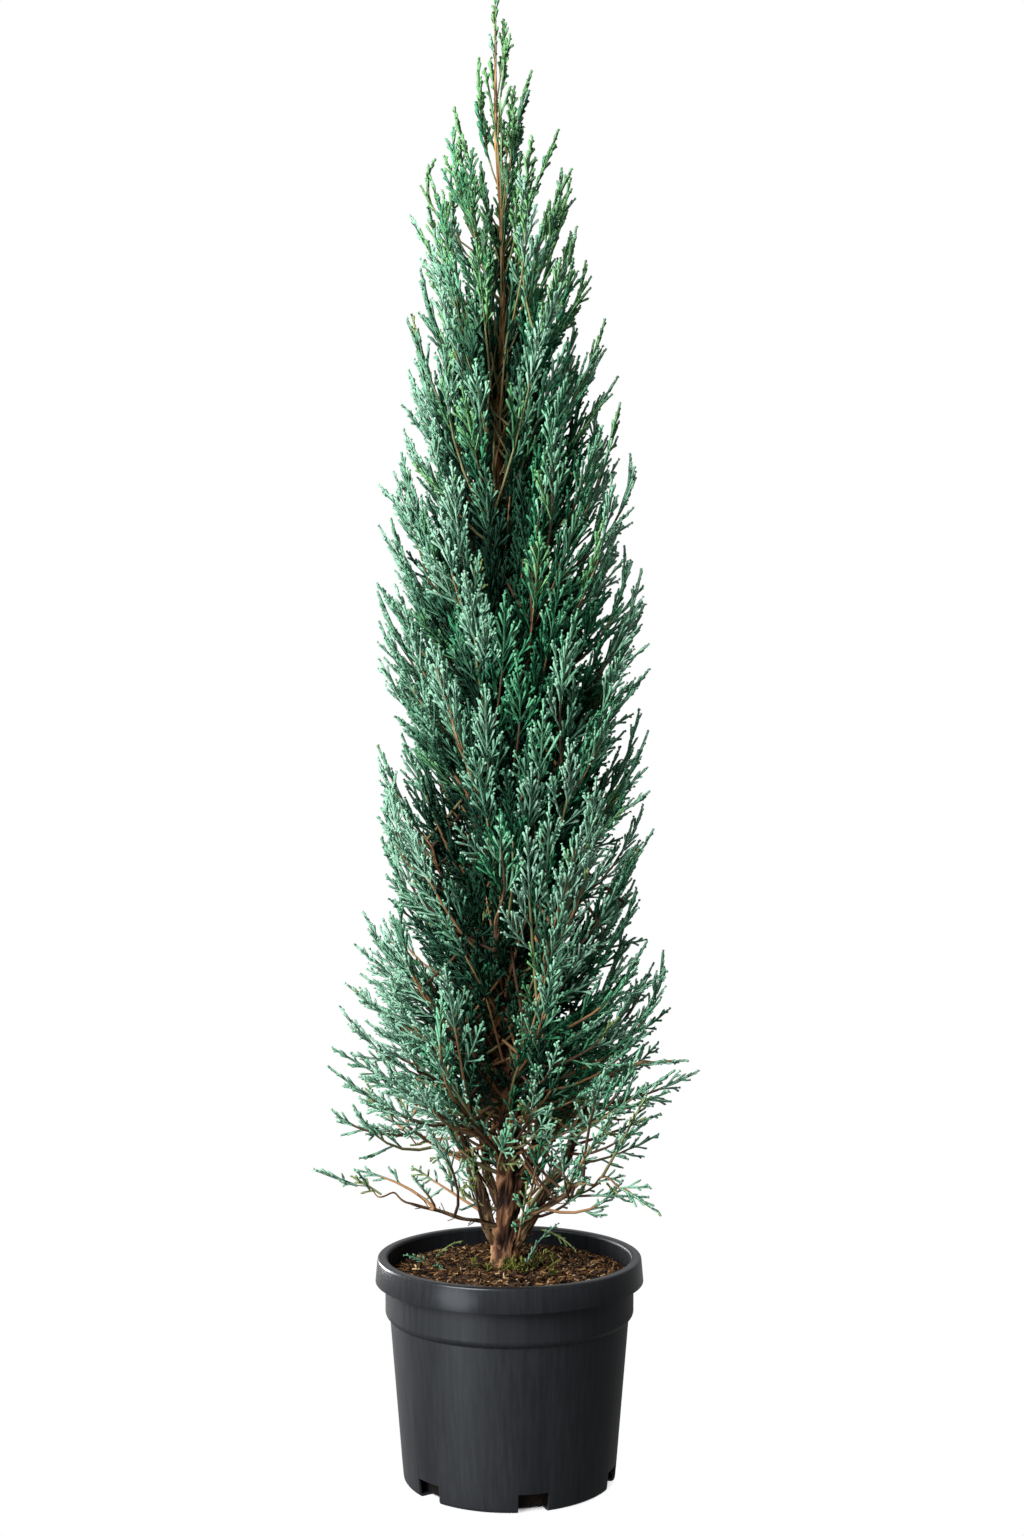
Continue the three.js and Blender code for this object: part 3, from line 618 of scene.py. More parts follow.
trunk_barks = [
    bark_finish("trunk_bark", (0.008, 0.003, 0.002), (0.045, 0.019, 0.010),
                (0.135, 0.062, 0.030), (0.37, 0.20, 0.105)),
    bark_finish("leader_bark", (0.070, 0.030, 0.011), (0.19, 0.088, 0.032),
                (0.35, 0.175, 0.068), (0.50, 0.30, 0.14)),
]
trunk_heights = np.concatenate([np.linspace(TRUNK_FOOT - TRUNK_SINK, LOW_TRUNK_TOP, LOW_TRUNK_RINGS),
                                np.linspace(HIGH_TRUNK_FOOT, TRUNK_TOP, HIGH_TRUNK_RINGS)])
trunk_girths = trunk_radius(trunk_heights) * np.interp(trunk_heights, LEADER_SLIM_HEIGHTS, LEADER_SLIMS)
trunk_points, trunk_relief_and_shade = barked_limb(trunk_at(trunk_heights), trunk_girths, TRUNK_BARK_SEED)
# The trunk under the crown is darkened up to the leader: painted shade of the foliage.
trunk_relief_and_shade -= np.interp(trunk_heights, TRUNK_SHADE_HEIGHTS, TRUNK_SHADES)[:, None]
trunk_mesh = bark_mesh("trunk_bark", [(trunk_points, trunk_relief_and_shade)], trunk_barks,
                       [(trunk_heights > LEADER_FOOT).astype(int)])
plant_piece("trunk_bark", trunk_mesh, ["trunk"])

# Boughs
# Eleven crooked limbs leave the trunk low down and rise steeply to the skirt of the crown. Their
# bark is the trunk's, darker, thinner and less furrowed. A row has a bough's azimuth, the height of
# its foot, its girth, and the reach and height of its own tip and of its plume's tip.
BOUGHS = {
    "right_outer": (-8, 0.226, 0.013, (0.090, 0.404), (0.194, 0.446)),
    "right_inner": (20, 0.308, 0.009, (0.084, 0.400), (0.176, 0.540)),
    "right_low": (-40, 0.264, 0.008, (0.088, 0.318), (0.200, 0.306)),
    "fork_right": (-58, 0.384, 0.015, (0.046, 0.470), (0.150, 0.700)),
    "left_main": (164, 0.226, 0.015, (0.068, 0.392), (0.180, 0.520)),
    "left_inner": (188, 0.318, 0.005, (0.066, 0.348), (0.160, 0.376)),
    "left_low": (206, 0.264, 0.005, (0.112, 0.300), (0.220, 0.345)),
    "left_front": (222, 0.330, 0.009, (0.078, 0.415), (0.184, 0.474)),
    "back_left": (122, 0.262, 0.011, (0.084, 0.398), (0.182, 0.500)),
    "back_middle": (92, 0.322, 0.010, (0.080, 0.420), (0.172, 0.560)),
    "back_right": (56, 0.264, 0.011, (0.086, 0.392), (0.186, 0.470)),
}
BOUGH_TIP_SHARE = 0.55
BOUGH_LIFT = 0.06
BOUGH_RINGS = 60
BOUGH_BARK_SEED = 20
BOUGH_BARK_DEPTH = 0.8
KINKS = 4.5
KINK_SEED = 3
KINK_START = 0.5
KINK_DEPTH = 0.007
THICK_BOUGH = 0.011


def from_trunk(azimuth, reach, height):
    """The point that far out from the trunk's middle at a height."""
    out = np.array([math.cos(math.radians(azimuth)), math.sin(math.radians(azimuth)), 0])
    point = trunk_at(min(height, TRUNK_TOP)) + reach * out
    point[2] = height
    return point


def along(curves, shares):
    """The points at those shares of quadratic curves, and the ways that the curves run there."""
    start, elbow, end = curves[..., 0, :], curves[..., 1, :], curves[..., 2, :]
    share = np.asarray(shares)[..., None]
    points = (1 - share) ** 2 * start + 2 * share * (1 - share) * elbow + share ** 2 * end
    ways = (1 - share) * (elbow - start) + share * (end - elbow)
    return points, unit(ways)


def crooked(axis, seed, depth):
    """An axis with small kinks that leave its two ends where they are."""
    shares = np.linspace(0, 1, len(axis))
    kinks = np.array([noise.noise_vector(Vector((seed, KINK_START, share * KINKS))) for share in shares])
    return axis + depth * np.sin(np.pi * shares)[:, None] * kinks


noise.seed_set(KINK_SEED)
bough_shares = np.linspace(0, 1, BOUGH_RINGS)
bough_limbs = []
bough_curves = {}
bough_axes = []
for seed, (name, (azimuth, level, girth, tip, _)) in enumerate(BOUGHS.items(), BOUGH_BARK_SEED):
    start = trunk_at(level)
    end = from_trunk(azimuth, *tip)
    elbow = (start + end) / 2
    elbow[2] -= BOUGH_LIFT * (end[2] - start[2])
    bough_curves[name] = np.array([start, elbow, end])
    axis, _ = along(np.broadcast_to(bough_curves[name], (BOUGH_RINGS, 3, 3)), bough_shares)
    axis = crooked(axis, seed, KINK_DEPTH * min(1, girth / THICK_BOUGH))
    bough_axes.append(axis)
    radii = girth / 2 * between((1, BOUGH_TIP_SHARE), bough_shares)
    bough_limbs.append(barked_limb(axis, radii, seed, BOUGH_BARK_DEPTH))
bough_bark = bark_finish("bough_bark", (0.007, 0.0035, 0.002), (0.028, 0.015, 0.007),
                         (0.072, 0.040, 0.019), (0.17, 0.105, 0.053))
bough_mesh = bark_mesh("bough_bark", bough_limbs, [bough_bark],
                       [np.zeros(BOUGH_RINGS, dtype=int)] * len(BOUGHS))
plant_piece("bough_bark", bough_mesh, [f"bough_{name}" for name in BOUGHS])

# Plumes
# Each bough ends in a plume, more plumes spring from the trunk all the way up, and the leader
# ends in the last. A plume is a woody stem, and its feathers are the thin brown to tan branches
# that leave the wood and sweep up to the light.
UP = np.array([0, 0, 1.0])
GOLDEN_ANGLE = math.radians(137.508)
PLUME_GAP = 0.0003
PLUME_ELBOW_SHARE = 0.4
PLUME_FIT = 0.94
TRUNK_PLUMES = 26
PLUME_HEIGHTS = (0.600, 1.490)
PLUME_LEANS = (40, 19)
PLUME_FIRST_AZIMUTH = -144
PLUME_ELBOW_REACH = 0.58
PLUME_ELBOW_RISE = 0.7
PLUME_STEM_RADIUS = 0.0034
PLUME_STEM_TAPER = 0.4
CROWN_TOP = 1.582
CROWN_HEIGHTS = (0.430, 0.500, 0.640, 0.960, 1.150, 1.350, 1.440, 1.530, 1.582)
CROWN_RADII = (0.200, 0.176, 0.140, 0.134, 0.106, 0.090, 0.054, 0.018, 0.004)
UPRIGHT_LIMIT = 0.05
NEARLY_ZERO = 1e-6


def crown_radius(height):
    return np.interp(height, CROWN_HEIGHTS, CROWN_RADII)


def plume_stems():
    """The stem curve, foot radius and name of every plume, low boughs first and the leader last."""
    curves, radii, names = [], [], []
    for name, (azimuth, _, girth, _, plume) in BOUGHS.items():
        tip, way = along(bough_curves[name][None], [1.0])
        root = tip[0] + way[0] * PLUME_GAP
        end = from_trunk(azimuth, *plume)
        curves.append([root, root + way[0] * PLUME_ELBOW_SHARE * np.linalg.norm(end - root), end])
        radii.append(girth / 2 * BOUGH_TIP_SHARE * PLUME_FIT)
        names.append(f"plume_{name}")
    for i in range(TRUNK_PLUMES):
        share = i / (TRUNK_PLUMES - 1)
        height = between(PLUME_HEIGHTS, share)
        reach = float(crown_radius(height))
        rise = reach / math.tan(math.radians(between(PLUME_LEANS, share)))
        azimuth = PLUME_FIRST_AZIMUTH + math.degrees(GOLDEN_ANGLE) * i
        curves.append([trunk_at(height - rise),
                       from_trunk(azimuth, PLUME_ELBOW_REACH * reach, height - PLUME_ELBOW_RISE * rise),
                       from_trunk(azimuth, reach, height)])
        radii.append(PLUME_STEM_RADIUS * (1 - PLUME_STEM_TAPER * share))
        names.append(f"plume_{i + 1:02d}")
    foot = trunk_at(TRUNK_TOP) + UP * PLUME_GAP
    end = np.array([foot[0], foot[1], CROWN_TOP])
    curves.append([foot, (foot + end) / 2, end])
    radii.append(TRUNK_TOP_RADIUS)
    names.append("plume_leader")
    return np.array(curves), np.array(radii), names


def lengths_of(curves):
    return np.linalg.norm(np.diff(curves, axis=1), axis=2).sum(axis=1)


def out_from_trunk(points):
    """The level ways out from the trunk's middle to points."""
    offset = points - trunk_at(np.minimum(points[:, 2], TRUNK_TOP))
    offset[:, 2] = 0
    return offset / np.maximum(np.linalg.norm(offset, axis=1), NEARLY_ZERO)[:, None]


def sideways(ways):
    """A level way across each way, and across the picture where a way is upright."""
    across = np.cross(ways, UP)
    upright = np.linalg.norm(across, axis=1) < UPRIGHT_LIMIT
    across[upright] = (1, 0, 0)
    return unit(across)


LEAN_HEIGHTS = (0.30, 0.40, 0.47, 0.55, 0.70, 1.00, 1.30, 1.55)
LEAN_ANGLES = (74, 60, 48, 36, 28, 22, 14, 5)
FRONT_UPRIGHT = 0.4
SIZE_HEIGHTS = (0.35, 0.50, 0.90, 1.25, 1.50)
FEATHER_LENGTHS = (0.090, 0.165, 0.220, 0.190, 0.130)
FEATHER_LENGTH_SHARES = (0.75, 1.2)
TIP_SPACINGS = (0.056, 0.050, 0.052, 0.053, 0.047)
TIP_LEVELS = 400
TIP_TURN = 0.12
RAGGED_SHARE = 0.27
RAGGED_POWER = 1.8
REACH_HEIGHTS = (0.34, 0.40, 0.52, 0.71, 0.80, 1.00, 1.09, 1.19, 1.285, 1.38, 1.47)
FEATHER_REACHES = (1.12, 1.0, 1.03, 1.11, 1.06, 1.14, 1.14, 1.14, 1.07, 1.08, 1.15)
CROWN_DEPTH = 0.9
SHIFT_HEIGHTS = (0.42, 0.52, 0.80, 1.0, 1.12, 1.28, 1.5)
CROWN_SHIFTS = (0.004, 0.004, 0.009, 0.002, 0.012, -0.003, 0.006)
leaf_random = np.random.default_rng(11)


def to_light(points, more):
    """The way that growth turns to: nearly level in the skirt and nearly upright at the top."""
    out = out_from_trunk(points)
    lean = np.interp(points[:, 2], LEAN_HEIGHTS, LEAN_ANGLES) * (1 - FRONT_UPRIGHT * out[:, 1] ** 2)
    lean = np.radians(lean + more)[:, None]
    return np.sin(lean) * out + np.cos(lean) * UP


def sized(sizes, points):
    return np.interp(points[:, 2], SIZE_HEIGHTS, sizes)


def feather_reach(heights):
    """How far out the furthest feathers end at each height."""
    return crown_radius(heights) * np.interp(heights, REACH_HEIGHTS, FEATHER_REACHES)


def crown_middle(heights):
    """The middle of the crown at each height: the trunk's, moved a little to the fuller side."""
    middle = trunk_at(np.minimum(heights, TRUNK_TOP))
    middle[:, 0] += np.interp(heights, SHIFT_HEIGHTS, CROWN_SHIFTS)
    middle[:, 2] = heights
    return middle


def crown_share(points):
    """How far out points lie in the crown: 0 in the middle and 1 where the furthest feathers end."""
    offset = points - crown_middle(points[:, 2])
    return np.hypot(offset[:, 0], offset[:, 1] / CROWN_DEPTH) / feather_reach(points[:, 2])


def dealt_tips(depth, spacing, lowest, highest):
    """Points dealt out evenly by the golden angle over the crown's outline or a smaller copy of it."""
    levels = np.linspace(lowest, highest, TIP_LEVELS)
    apart = spacing * np.interp(levels, SIZE_HEIGHTS, TIP_SPACINGS)
    passed = np.cumsum(math.tau * depth * crown_radius(levels) / apart ** 2) * (levels[1] - levels[0])
    heights = np.interp(np.arange(1, passed[-1]), passed, levels)
    count = len(heights)
    azimuths = GOLDEN_ANGLE * np.arange(count) + leaf_random.normal(0, TIP_TURN, count)
    reach = depth * feather_reach(heights) * (1 - RAGGED_SHARE * leaf_random.random(count) ** RAGGED_POWER)
    tips = crown_middle(heights)
    tips[:, 0] += reach * np.cos(azimuths)
    tips[:, 1] += CROWN_DEPTH * reach * np.sin(azimuths)
    return tips


def part_of(curves, start, end):
    """The stretches of quadratic curves between two shares, as curves of their own."""
    start = np.broadcast_to(np.asarray(start, dtype=float), len(curves))
    end = np.broadcast_to(np.asarray(end, dtype=float), len(curves))
    first, _ = along(curves, start)
    last, _ = along(curves, end)
    weights = np.stack([(1 - start) * (1 - end), start * (1 - end) + end * (1 - start), start * end], axis=-1)
    return np.stack([first, (weights[..., None] * curves).sum(axis=1), last], axis=1)


STEM_WOODY_SHARE = 0.9
STEM_RINGS = 40
STEM_SIDES = 12
STEM_TIP_SHARE = 0.3
STEM_BARK_SEED = 60
STEM_BARK_DEPTH = 0.6
STEM_KINK_DEPTH = 0.012
WOOD_START = 0.15
WOOD_STEPS = 24
TRUNK_WOOD_FOOT = 0.34
TRUNK_WOOD_STEP = 0.01
stem_curves, stem_radii, plume_names = plume_stems()
stem_count = len(stem_curves)
stem_shares = np.linspace(0, 1, STEM_RINGS)
stem_axes = []
for order, curve in enumerate(part_of(stem_curves, 0, STEM_WOODY_SHARE)):
    axis, _ = along(np.broadcast_to(curve, (STEM_RINGS, 3, 3)), stem_shares)
    kink_depth = STEM_KINK_DEPTH if order < stem_count - 1 else 0
    stem_axes.append(crooked(axis, STEM_BARK_SEED + order, kink_depth))
wood_shares = np.linspace(WOOD_START, 1, WOOD_STEPS)
stem_points = np.array(stem_axes)[:, np.round(wood_shares * (STEM_RINGS - 1)).astype(int)]
bough_points = np.array(bough_axes)[:, np.round(wood_shares * (BOUGH_RINGS - 1)).astype(int)]
wood_points = np.concatenate([stem_points.reshape(-1, 3), bough_points.reshape(-1, 3),
                              trunk_at(np.arange(TRUNK_WOOD_FOOT, TRUNK_TOP, TRUNK_WOOD_STEP))])

# The layers of feathers, each with its depth, spacing, lowest and highest tips
FEATHER_LAYERS = {
    "outer": (1.0, 1.0, 0.385, 1.565),
    "inner": (0.64, 0.77, 0.39, 1.30),
    "core": (0.34, 0.92, 0.41, 1.42),
    "low": (0.8, 1.5, 0.29, 0.38),
    "tufts": (0.40, 1.0, 0.31, 0.42),
}
TUFT_LIFT = 30
OPEN_HEIGHTS = (0.30, 0.325, 0.345, 0.385, 0.42, 0.54, 0.66, 0.75, 0.95, 1.05, 1.30, 1.40)
OPEN_WIDTHS = (0.6, 0.25, 0, 0, 0.28, 0.32, 0.25, 0, 0, 0.12, 0.16, 0.25)
layer_tips = {name: dealt_tips(*layer) for name, layer in FEATHER_LAYERS.items()}
feather_tips = np.concatenate(list(layer_tips.values()))
feather_lifts = np.zeros(len(feather_tips))
feather_lifts[-len(layer_tips["tufts"]):] = TUFT_LIFT
from_front = np.abs(np.arctan2(feather_tips[:, 0] - TRUNK_OFFSET - TRUNK_LEAN, -feather_tips[:, 1]))
closed_front = from_front >= np.interp(feather_tips[:, 2], OPEN_HEIGHTS, OPEN_WIDTHS)
feather_tips = feather_tips[closed_front]
feather_lifts = feather_lifts[closed_front]

FEATHER_ARCH = 10
FEATHER_SWAY = 12
END_SPREAD = 0.08
ELBOW_SHARE = 0.55
ELBOW_SPREAD = 0.006
LEAFY_STARTS = (0.1, 0.8)
BOUGH_LEAFY_SHARE = 0.2
STEM_LEAFY_HEIGHTS = (1.1, 1.4)
STEM_LEAFY_SHARES = (0.45, 0.05)
feather_count = len(feather_tips)
leafy_lengths = sized(FEATHER_LENGTHS, feather_tips)
leafy_lengths *= leaf_random.uniform(*FEATHER_LENGTH_SHARES, feather_count)
feather_sways = leaf_random.normal(0, FEATHER_SWAY, feather_count)
feather_ends = unit(to_light(feather_tips, feather_sways - feather_lifts)
                    + leaf_random.normal(0, END_SPREAD, feather_tips.shape))
wanted_roots = feather_tips - to_light(feather_tips, FEATHER_ARCH - feather_lifts) * leafy_lengths[:, None]
root_gaps = np.linalg.norm(wanted_roots[:, None] - wood_points[None], axis=2)
root_gaps += wood_points[None, :, 2] > feather_tips[:, None, 2]
feather_roots = wood_points[root_gaps.argmin(axis=1)]
feather_runs = np.linalg.norm(feather_tips - feather_roots, axis=1)
feather_elbows = feather_tips - feather_ends * (ELBOW_SHARE * feather_runs)[:, None]
feather_elbows += leaf_random.normal(0, ELBOW_SPREAD, feather_elbows.shape)
feather_curves = np.stack([feather_roots, feather_elbows, feather_tips], axis=1)
stem_gaps = np.linalg.norm(feather_tips[:, None, None] - stem_points[None], axis=3).min(axis=2)
feather_stem = stem_gaps.argmin(axis=1)
leafy_start = np.clip(1 - leafy_lengths / lengths_of(feather_curves), *LEAFY_STARTS)
stem_start = np.interp(stem_curves[:, 2, 2], STEM_LEAFY_HEIGHTS, STEM_LEAFY_SHARES)
stem_start[:len(BOUGHS)] = BOUGH_LEAFY_SHARE
leafy_curves = np.concatenate([part_of(feather_curves, leafy_start, 1), part_of(stem_curves, stem_start, 1)])
leafy_stem = np.concatenate([feather_stem, np.arange(stem_count)])


def limb_mesh(curves, radii, profile, sides, roll=0.0):
    """Pointed tubes along curves: the profile gives each ring's share of the run and swelling."""
    count = len(curves)
    rings, across = [], None
    for level, (share, swelling) in enumerate(profile):
        middle, ways = along(curves, np.full(count, share))
        across = sideways(ways) if across is None else unit(across - (across * ways).sum(1)[:, None] * ways)
        lift = np.cross(ways, across)
        angle = math.tau * np.arange(sides) / sides + roll * level
        ring = np.cos(angle)[:, None] * across[:, None, :] + np.sin(angle)[:, None] * lift[:, None, :]
        rings.append(middle[:, None, :] + ring * (radii * swelling)[:, None, None])
    points = np.concatenate([np.stack(rings, axis=1).reshape(count, -1, 3), curves[:, 2:3]], axis=1)
    start = (np.arange(count) * points.shape[1])[:, None, None]
    last = (len(profile) - 1) * sides
    side = np.arange(sides)
    tips = np.stack([last + side, last + (side + 1) % sides, np.full(sides, last + sides)], axis=-1)
    walls = ring_quads(len(profile), sides)
    return points.reshape(-1, 3), (walls + start).reshape(-1, 4), (tips + start).reshape(-1, 3)


def tube_piece(name, kinds, materials, nodes=()):
    """One piece of several kinds of tubes, each kind with the tint of every tube."""
    points, quads, triangles, quad_tints, tip_tints = [], [], [], [], []
    start = 0
    for (corners, walls, tips), tints in kinds:
        points.append(corners)
        quads.append(walls + start)
        triangles.append(tips + start)
        quad_tints.append(np.repeat(tints, len(walls) // len(tints)))
        tip_tints.append(np.repeat(tints, len(tips) // len(tints)))
        start += len(corners)
    mesh = array_mesh(name, np.concatenate(points), np.concatenate(quads), np.concatenate(triangles),
                      np.concatenate(quad_tints + tip_tints), materials)
    plant_piece(name, mesh, nodes)


STEM_SLIM_HEIGHTS = (1.0, 1.45)
STEM_SLIMS = (0.9, 0.45)
STEM_TINT_SHARES = (0.6, 0.4)
FEATHER_PROFILE = ((0, 1), (0.25, 0.95), (0.5, 0.86), (0.75, 0.74), (0.96, 0.6))
FEATHER_SIDES = 5
FEATHER_RADII = (0.0018, 0.0018, 0.0018, 0.0014, 0.0010)
FEATHER_WOODY_SHARE = 0.62
FEATHER_TINT_SHARES = (0.45, 0.4, 0.15)
TAN_FEATHER_FOOT = 1.2
ORANGE, TAN = 1, 2
stem_barks = [
    bark_finish("stem_brown", (0.012, 0.007, 0.004), (0.045, 0.025, 0.014),
                (0.110, 0.062, 0.034), (0.25, 0.16, 0.09)),
    bark_finish("stem_orange", (0.040, 0.019, 0.009), (0.115, 0.058, 0.026),
                (0.23, 0.125, 0.056), (0.40, 0.25, 0.13)),
    bark_finish("stem_tan", (0.050, 0.045, 0.018), (0.105, 0.090, 0.038),
                (0.175, 0.150, 0.066), (0.28, 0.23, 0.11)),
]
stem_tints = leaf_random.choice(len(STEM_TINT_SHARES), stem_count, p=STEM_TINT_SHARES)
stem_tints[stem_curves[:, 2, 2] > LEADER_FOOT] = TAN
stem_tints[-1] = ORANGE
stem_radii[:-1] *= np.interp(stem_curves[:-1, 2, 2], STEM_SLIM_HEIGHTS, STEM_SLIMS)
stem_limbs = []
for order, (axis, radius) in enumerate(zip(stem_axes, stem_radii)):
    radii = radius * between((1, STEM_TIP_SHARE), stem_shares)
    stem_limbs.append(barked_limb(axis, radii, STEM_BARK_SEED + order, STEM_BARK_DEPTH, STEM_SIDES))
stem_mesh = bark_mesh("plume_stems", stem_limbs, stem_barks,
                      [np.full(STEM_RINGS, tint) for tint in stem_tints])
plant_piece("plume_stems", stem_mesh)
twig_tones = [finish("twig_brown", (0.065, 0.036, 0.021), 0.8, 0.15),
              finish("twig_orange", (0.27, 0.145, 0.066), 0.75, 0.15),
              finish("twig_tan", (0.19, 0.18, 0.080), 0.75, 0.15)]
feather_tints = leaf_random.choice(len(twig_tones), feather_count, p=FEATHER_TINT_SHARES)
feather_tints[feather_tips[:, 2] > TAN_FEATHER_FOOT] = TAN
feather_wood = part_of(feather_curves, 0, leafy_start + FEATHER_WOODY_SHARE * (1 - leafy_start))
feather_tubes = limb_mesh(feather_wood, sized(FEATHER_RADII, feather_tips), FEATHER_PROFILE, FEATHER_SIDES)
tube_piece("plume_twigs", [(feather_tubes, feather_tints)], twig_tones)

# Sprays
# The feathers carry shoots to both sides, and the shoots carry short cords of scale leaves, from
# stubs at their tips to long ones. They are a waxy blue-green, fresh green at the growing tips,
# in tones that carry painted shade and light: darker deep in the crown, lighter where lit.
SHOOT_SIZES = {
    "spacing": (0.0170, 0.0160, 0.0170, 0.0185, 0.0180),
    "tilt": (42, 37, 26, 20, 17),
    "longest": (0.045, 0.064, 0.078, 0.064, 0.048),
}
SHOOT_HABIT = {"slope": 0.5, "forward": 0.7, "spread": 0.35}
SHOOT_RADIUS = 0.0016
SHOOT_PROFILE = ((0, 0.85), (0.5, 1), (0.95, 0.9))
SHOOT_SLACK = 0.03
MOST_SHOOTS = 40
FIRST_SHOOT = 0.04
SHOOT_STRETCH = 0.94
TILT_SHARES = (0.8, 1.2)
LENGTH_SHARES = (0.6, 1.25)
FOOT_STRETCH = 0.3
FOOT_LENGTH_SHARE = 0.6
STUB_LENGTH = 0.0022
CURL = 0.19
FACE_LIFT = 0.35
SHORTENINGS = 7
SHORTENING = 0.82
LEADER_CLEARANCE = 0.007
LEADER_DEPTH = 0.004
LEADER_BARE_FOOT = 1.06
PASSING_SHARES = (0.3, 0.65, 1.0)
AXIS_LEAFY_SHARE = 0.52
BARE_SHARE = 0.22
BARE_TOP = 1.1


def across_face(points, ways, spread):
    """The way across each spray that faces out of the crown, turned at random by the spread."""
    face = out_from_trunk(points) + FACE_LIFT * UP
    face = unit(face - (face * ways).sum(1)[:, None] * ways + NEARLY_ZERO)
    turn = leaf_random.normal(0, spread, len(points))[:, None]
    return np.cos(turn) * np.cross(face, ways) + np.sin(turn) * face


def side_shoots(parents, spacing, tilt, longest, slope, forward, spread, least=0):
    """Shoots to both sides of parent curves in turn, from stubs at the tips to the longest below:
    their parents, their shares along them, and their roots, first ways, last ways and lengths."""
    runs = lengths_of(parents)
    counts = np.clip(np.round(runs / spacing), 0, MOST_SHOOTS).astype(int)
    counts[runs < least] = 0
    tilt = np.broadcast_to(np.radians(tilt), len(parents))
    longest = np.broadcast_to(longest, len(parents))
    parent = np.repeat(np.arange(len(parents)), counts)
    order = np.arange(len(parent)) - np.repeat(np.cumsum(counts) - counts, counts)
    share = FIRST_SHOOT + SHOOT_STRETCH * (order + 1) / counts[parent]
    roots, ways = along(parents[parent], share)
    hand = np.where((order + parent) % 2 == 0, 1, -1)[:, None]
    side = hand * across_face(roots, ways, spread)
    angle = (tilt[parent] * leaf_random.uniform(*TILT_SHARES, len(parent)))[:, None]
    leave = unit(np.cos(angle) * ways + np.sin(angle) * side)
    end = unit(leave + forward * ways + leaf_random.normal(0, CURL, leave.shape))
    run = np.minimum(STUB_LENGTH + slope * (1 - share) * runs[parent], longest[parent])
    run *= np.interp(share, (0, FOOT_STRETCH), (FOOT_LENGTH_SHARE, 1))
    run *= leaf_random.uniform(*LENGTH_SHARES, len(parent))
    return parent, share, (roots, leave, end, run)


def bent(roots, ways, ends, lengths):
    """Curves of those lengths that leave by one way and end by another."""
    middles = roots + ways * lengths[:, None] / 2
    return np.stack([roots, middles, middles + ends * lengths[:, None] / 2], axis=1)


def kept_in_crown(roots, ways, ends, lengths):
    """Such curves, shortened until they stay in the crown, and whether they do."""
    lengths = lengths.copy()
    for _ in range(SHORTENINGS):
        tips = roots + (ways + ends) * lengths[:, None] / 2
        outside = (crown_share(tips) > 1 + SHOOT_SLACK) | (tips[:, 2] > CROWN_TOP)
        lengths[outside] *= SHORTENING
    return bent(roots, ways, ends, lengths), ~outside


def before_leader(curves):
    """True for shoots high in the crown that would pass close before the leader, which stays bare."""
    passing = np.zeros(len(curves), dtype=bool)
    for share in PASSING_SHARES:
        points, _ = along(curves, np.full(len(curves), share))
        offset = points - trunk_at(np.minimum(points[:, 2], TRUNK_TOP))
        passing |= ((np.abs(offset[:, 0]) < LEADER_CLEARANCE) & (offset[:, 1] < -LEADER_DEPTH)
                    & (points[:, 2] > LEADER_BARE_FOOT))
    return passing


def sizes_at(sizes, points):
    return {name: sized(values, points) for name, values in sizes.items()}


shoot_leafy, shoot_share, shoot_growth = side_shoots(
    leafy_curves, **sizes_at(SHOOT_SIZES, leafy_curves[:, 2]), **SHOOT_HABIT)
shoot_curves, shoot_kept = kept_in_crown(*shoot_growth)
shoot_kept &= (crown_share(shoot_curves[:, 2]) > BARE_SHARE) | (shoot_curves[:, 2, 2] > BARE_TOP)
shoot_kept &= ~before_leader(shoot_curves)
leafy_count = len(leafy_curves)
shoot_curves = np.concatenate([shoot_curves[shoot_kept], part_of(leafy_curves, AXIS_LEAFY_SHARE, 1)])
shoot_leafy = np.concatenate([shoot_leafy[shoot_kept], np.arange(leafy_count)])
shoot_share = np.concatenate([shoot_share[shoot_kept], np.full(leafy_count, AXIS_LEAFY_SHARE)])
shoot_stem = leafy_stem[shoot_leafy]
shoot_tips = shoot_curves[:, 2]
shoot_heights = shoot_tips[:, 2]

# Green and greyer bloom tones each run in six levels from shade to bright: lit and shaded copies of one leaf
# colour, dealt by painted shade and light. Fresh green has a shaded and a lit copy.
LEAF_TONES = {
    "green_shade": (0.008, 0.043, 0.021),
    "green_deep": (0.018, 0.116, 0.054),
    "green_plain": (0.039, 0.204, 0.096),
    "green_teal": (0.074, 0.262, 0.138),
    "green_pale": (0.140, 0.352, 0.212),
    "green_bright": (0.205, 0.41, 0.28),
    "bloom_shade": (0.011, 0.043, 0.025),
    "bloom_deep": (0.030, 0.107, 0.060),
    "bloom_plain": (0.068, 0.187, 0.112),
    "bloom_teal": (0.118, 0.272, 0.175),
    "bloom_pale": (0.182, 0.355, 0.248),
    "bloom_silver": (0.235, 0.42, 0.31),
    "fresh_shaded": (0.066, 0.195, 0.083),
    "fresh": (0.140, 0.320, 0.135),
    "olive": (0.160, 0.215, 0.080),
}
BLOOM_TONE, FRESH_TONE, OLIVE_TONE = 6, 12, 14
TONE_LEVELS = (0.36, 0.5, 0.66, 0.84, 1.06)
TONE_SPREAD = 0.07
SHADE_HEIGHTS = (0.36, 0.46, 1.08, 1.35)
SHADE_RADII = (0.080, 0.150, 0.150, 0.060)
SHADE_DEPTHS = (0.0045, 0.066)
SHADE_TONES = (0.95, 0.1)
FEATHER_LIGHT = 0.03
FEATHER_LIGHT_SPREAD = 0.15
FEATHER_LIGHT_HEIGHTS = (0.34, 0.44, 0.90, 1.10, 1.25, 1.40)
FEATHER_LIGHTS = (0.10, 0.02, 0, 0.05, 0.01, -0.02)
TIP_LIGHT = 0.3
SIDE_LIGHT = 0.17
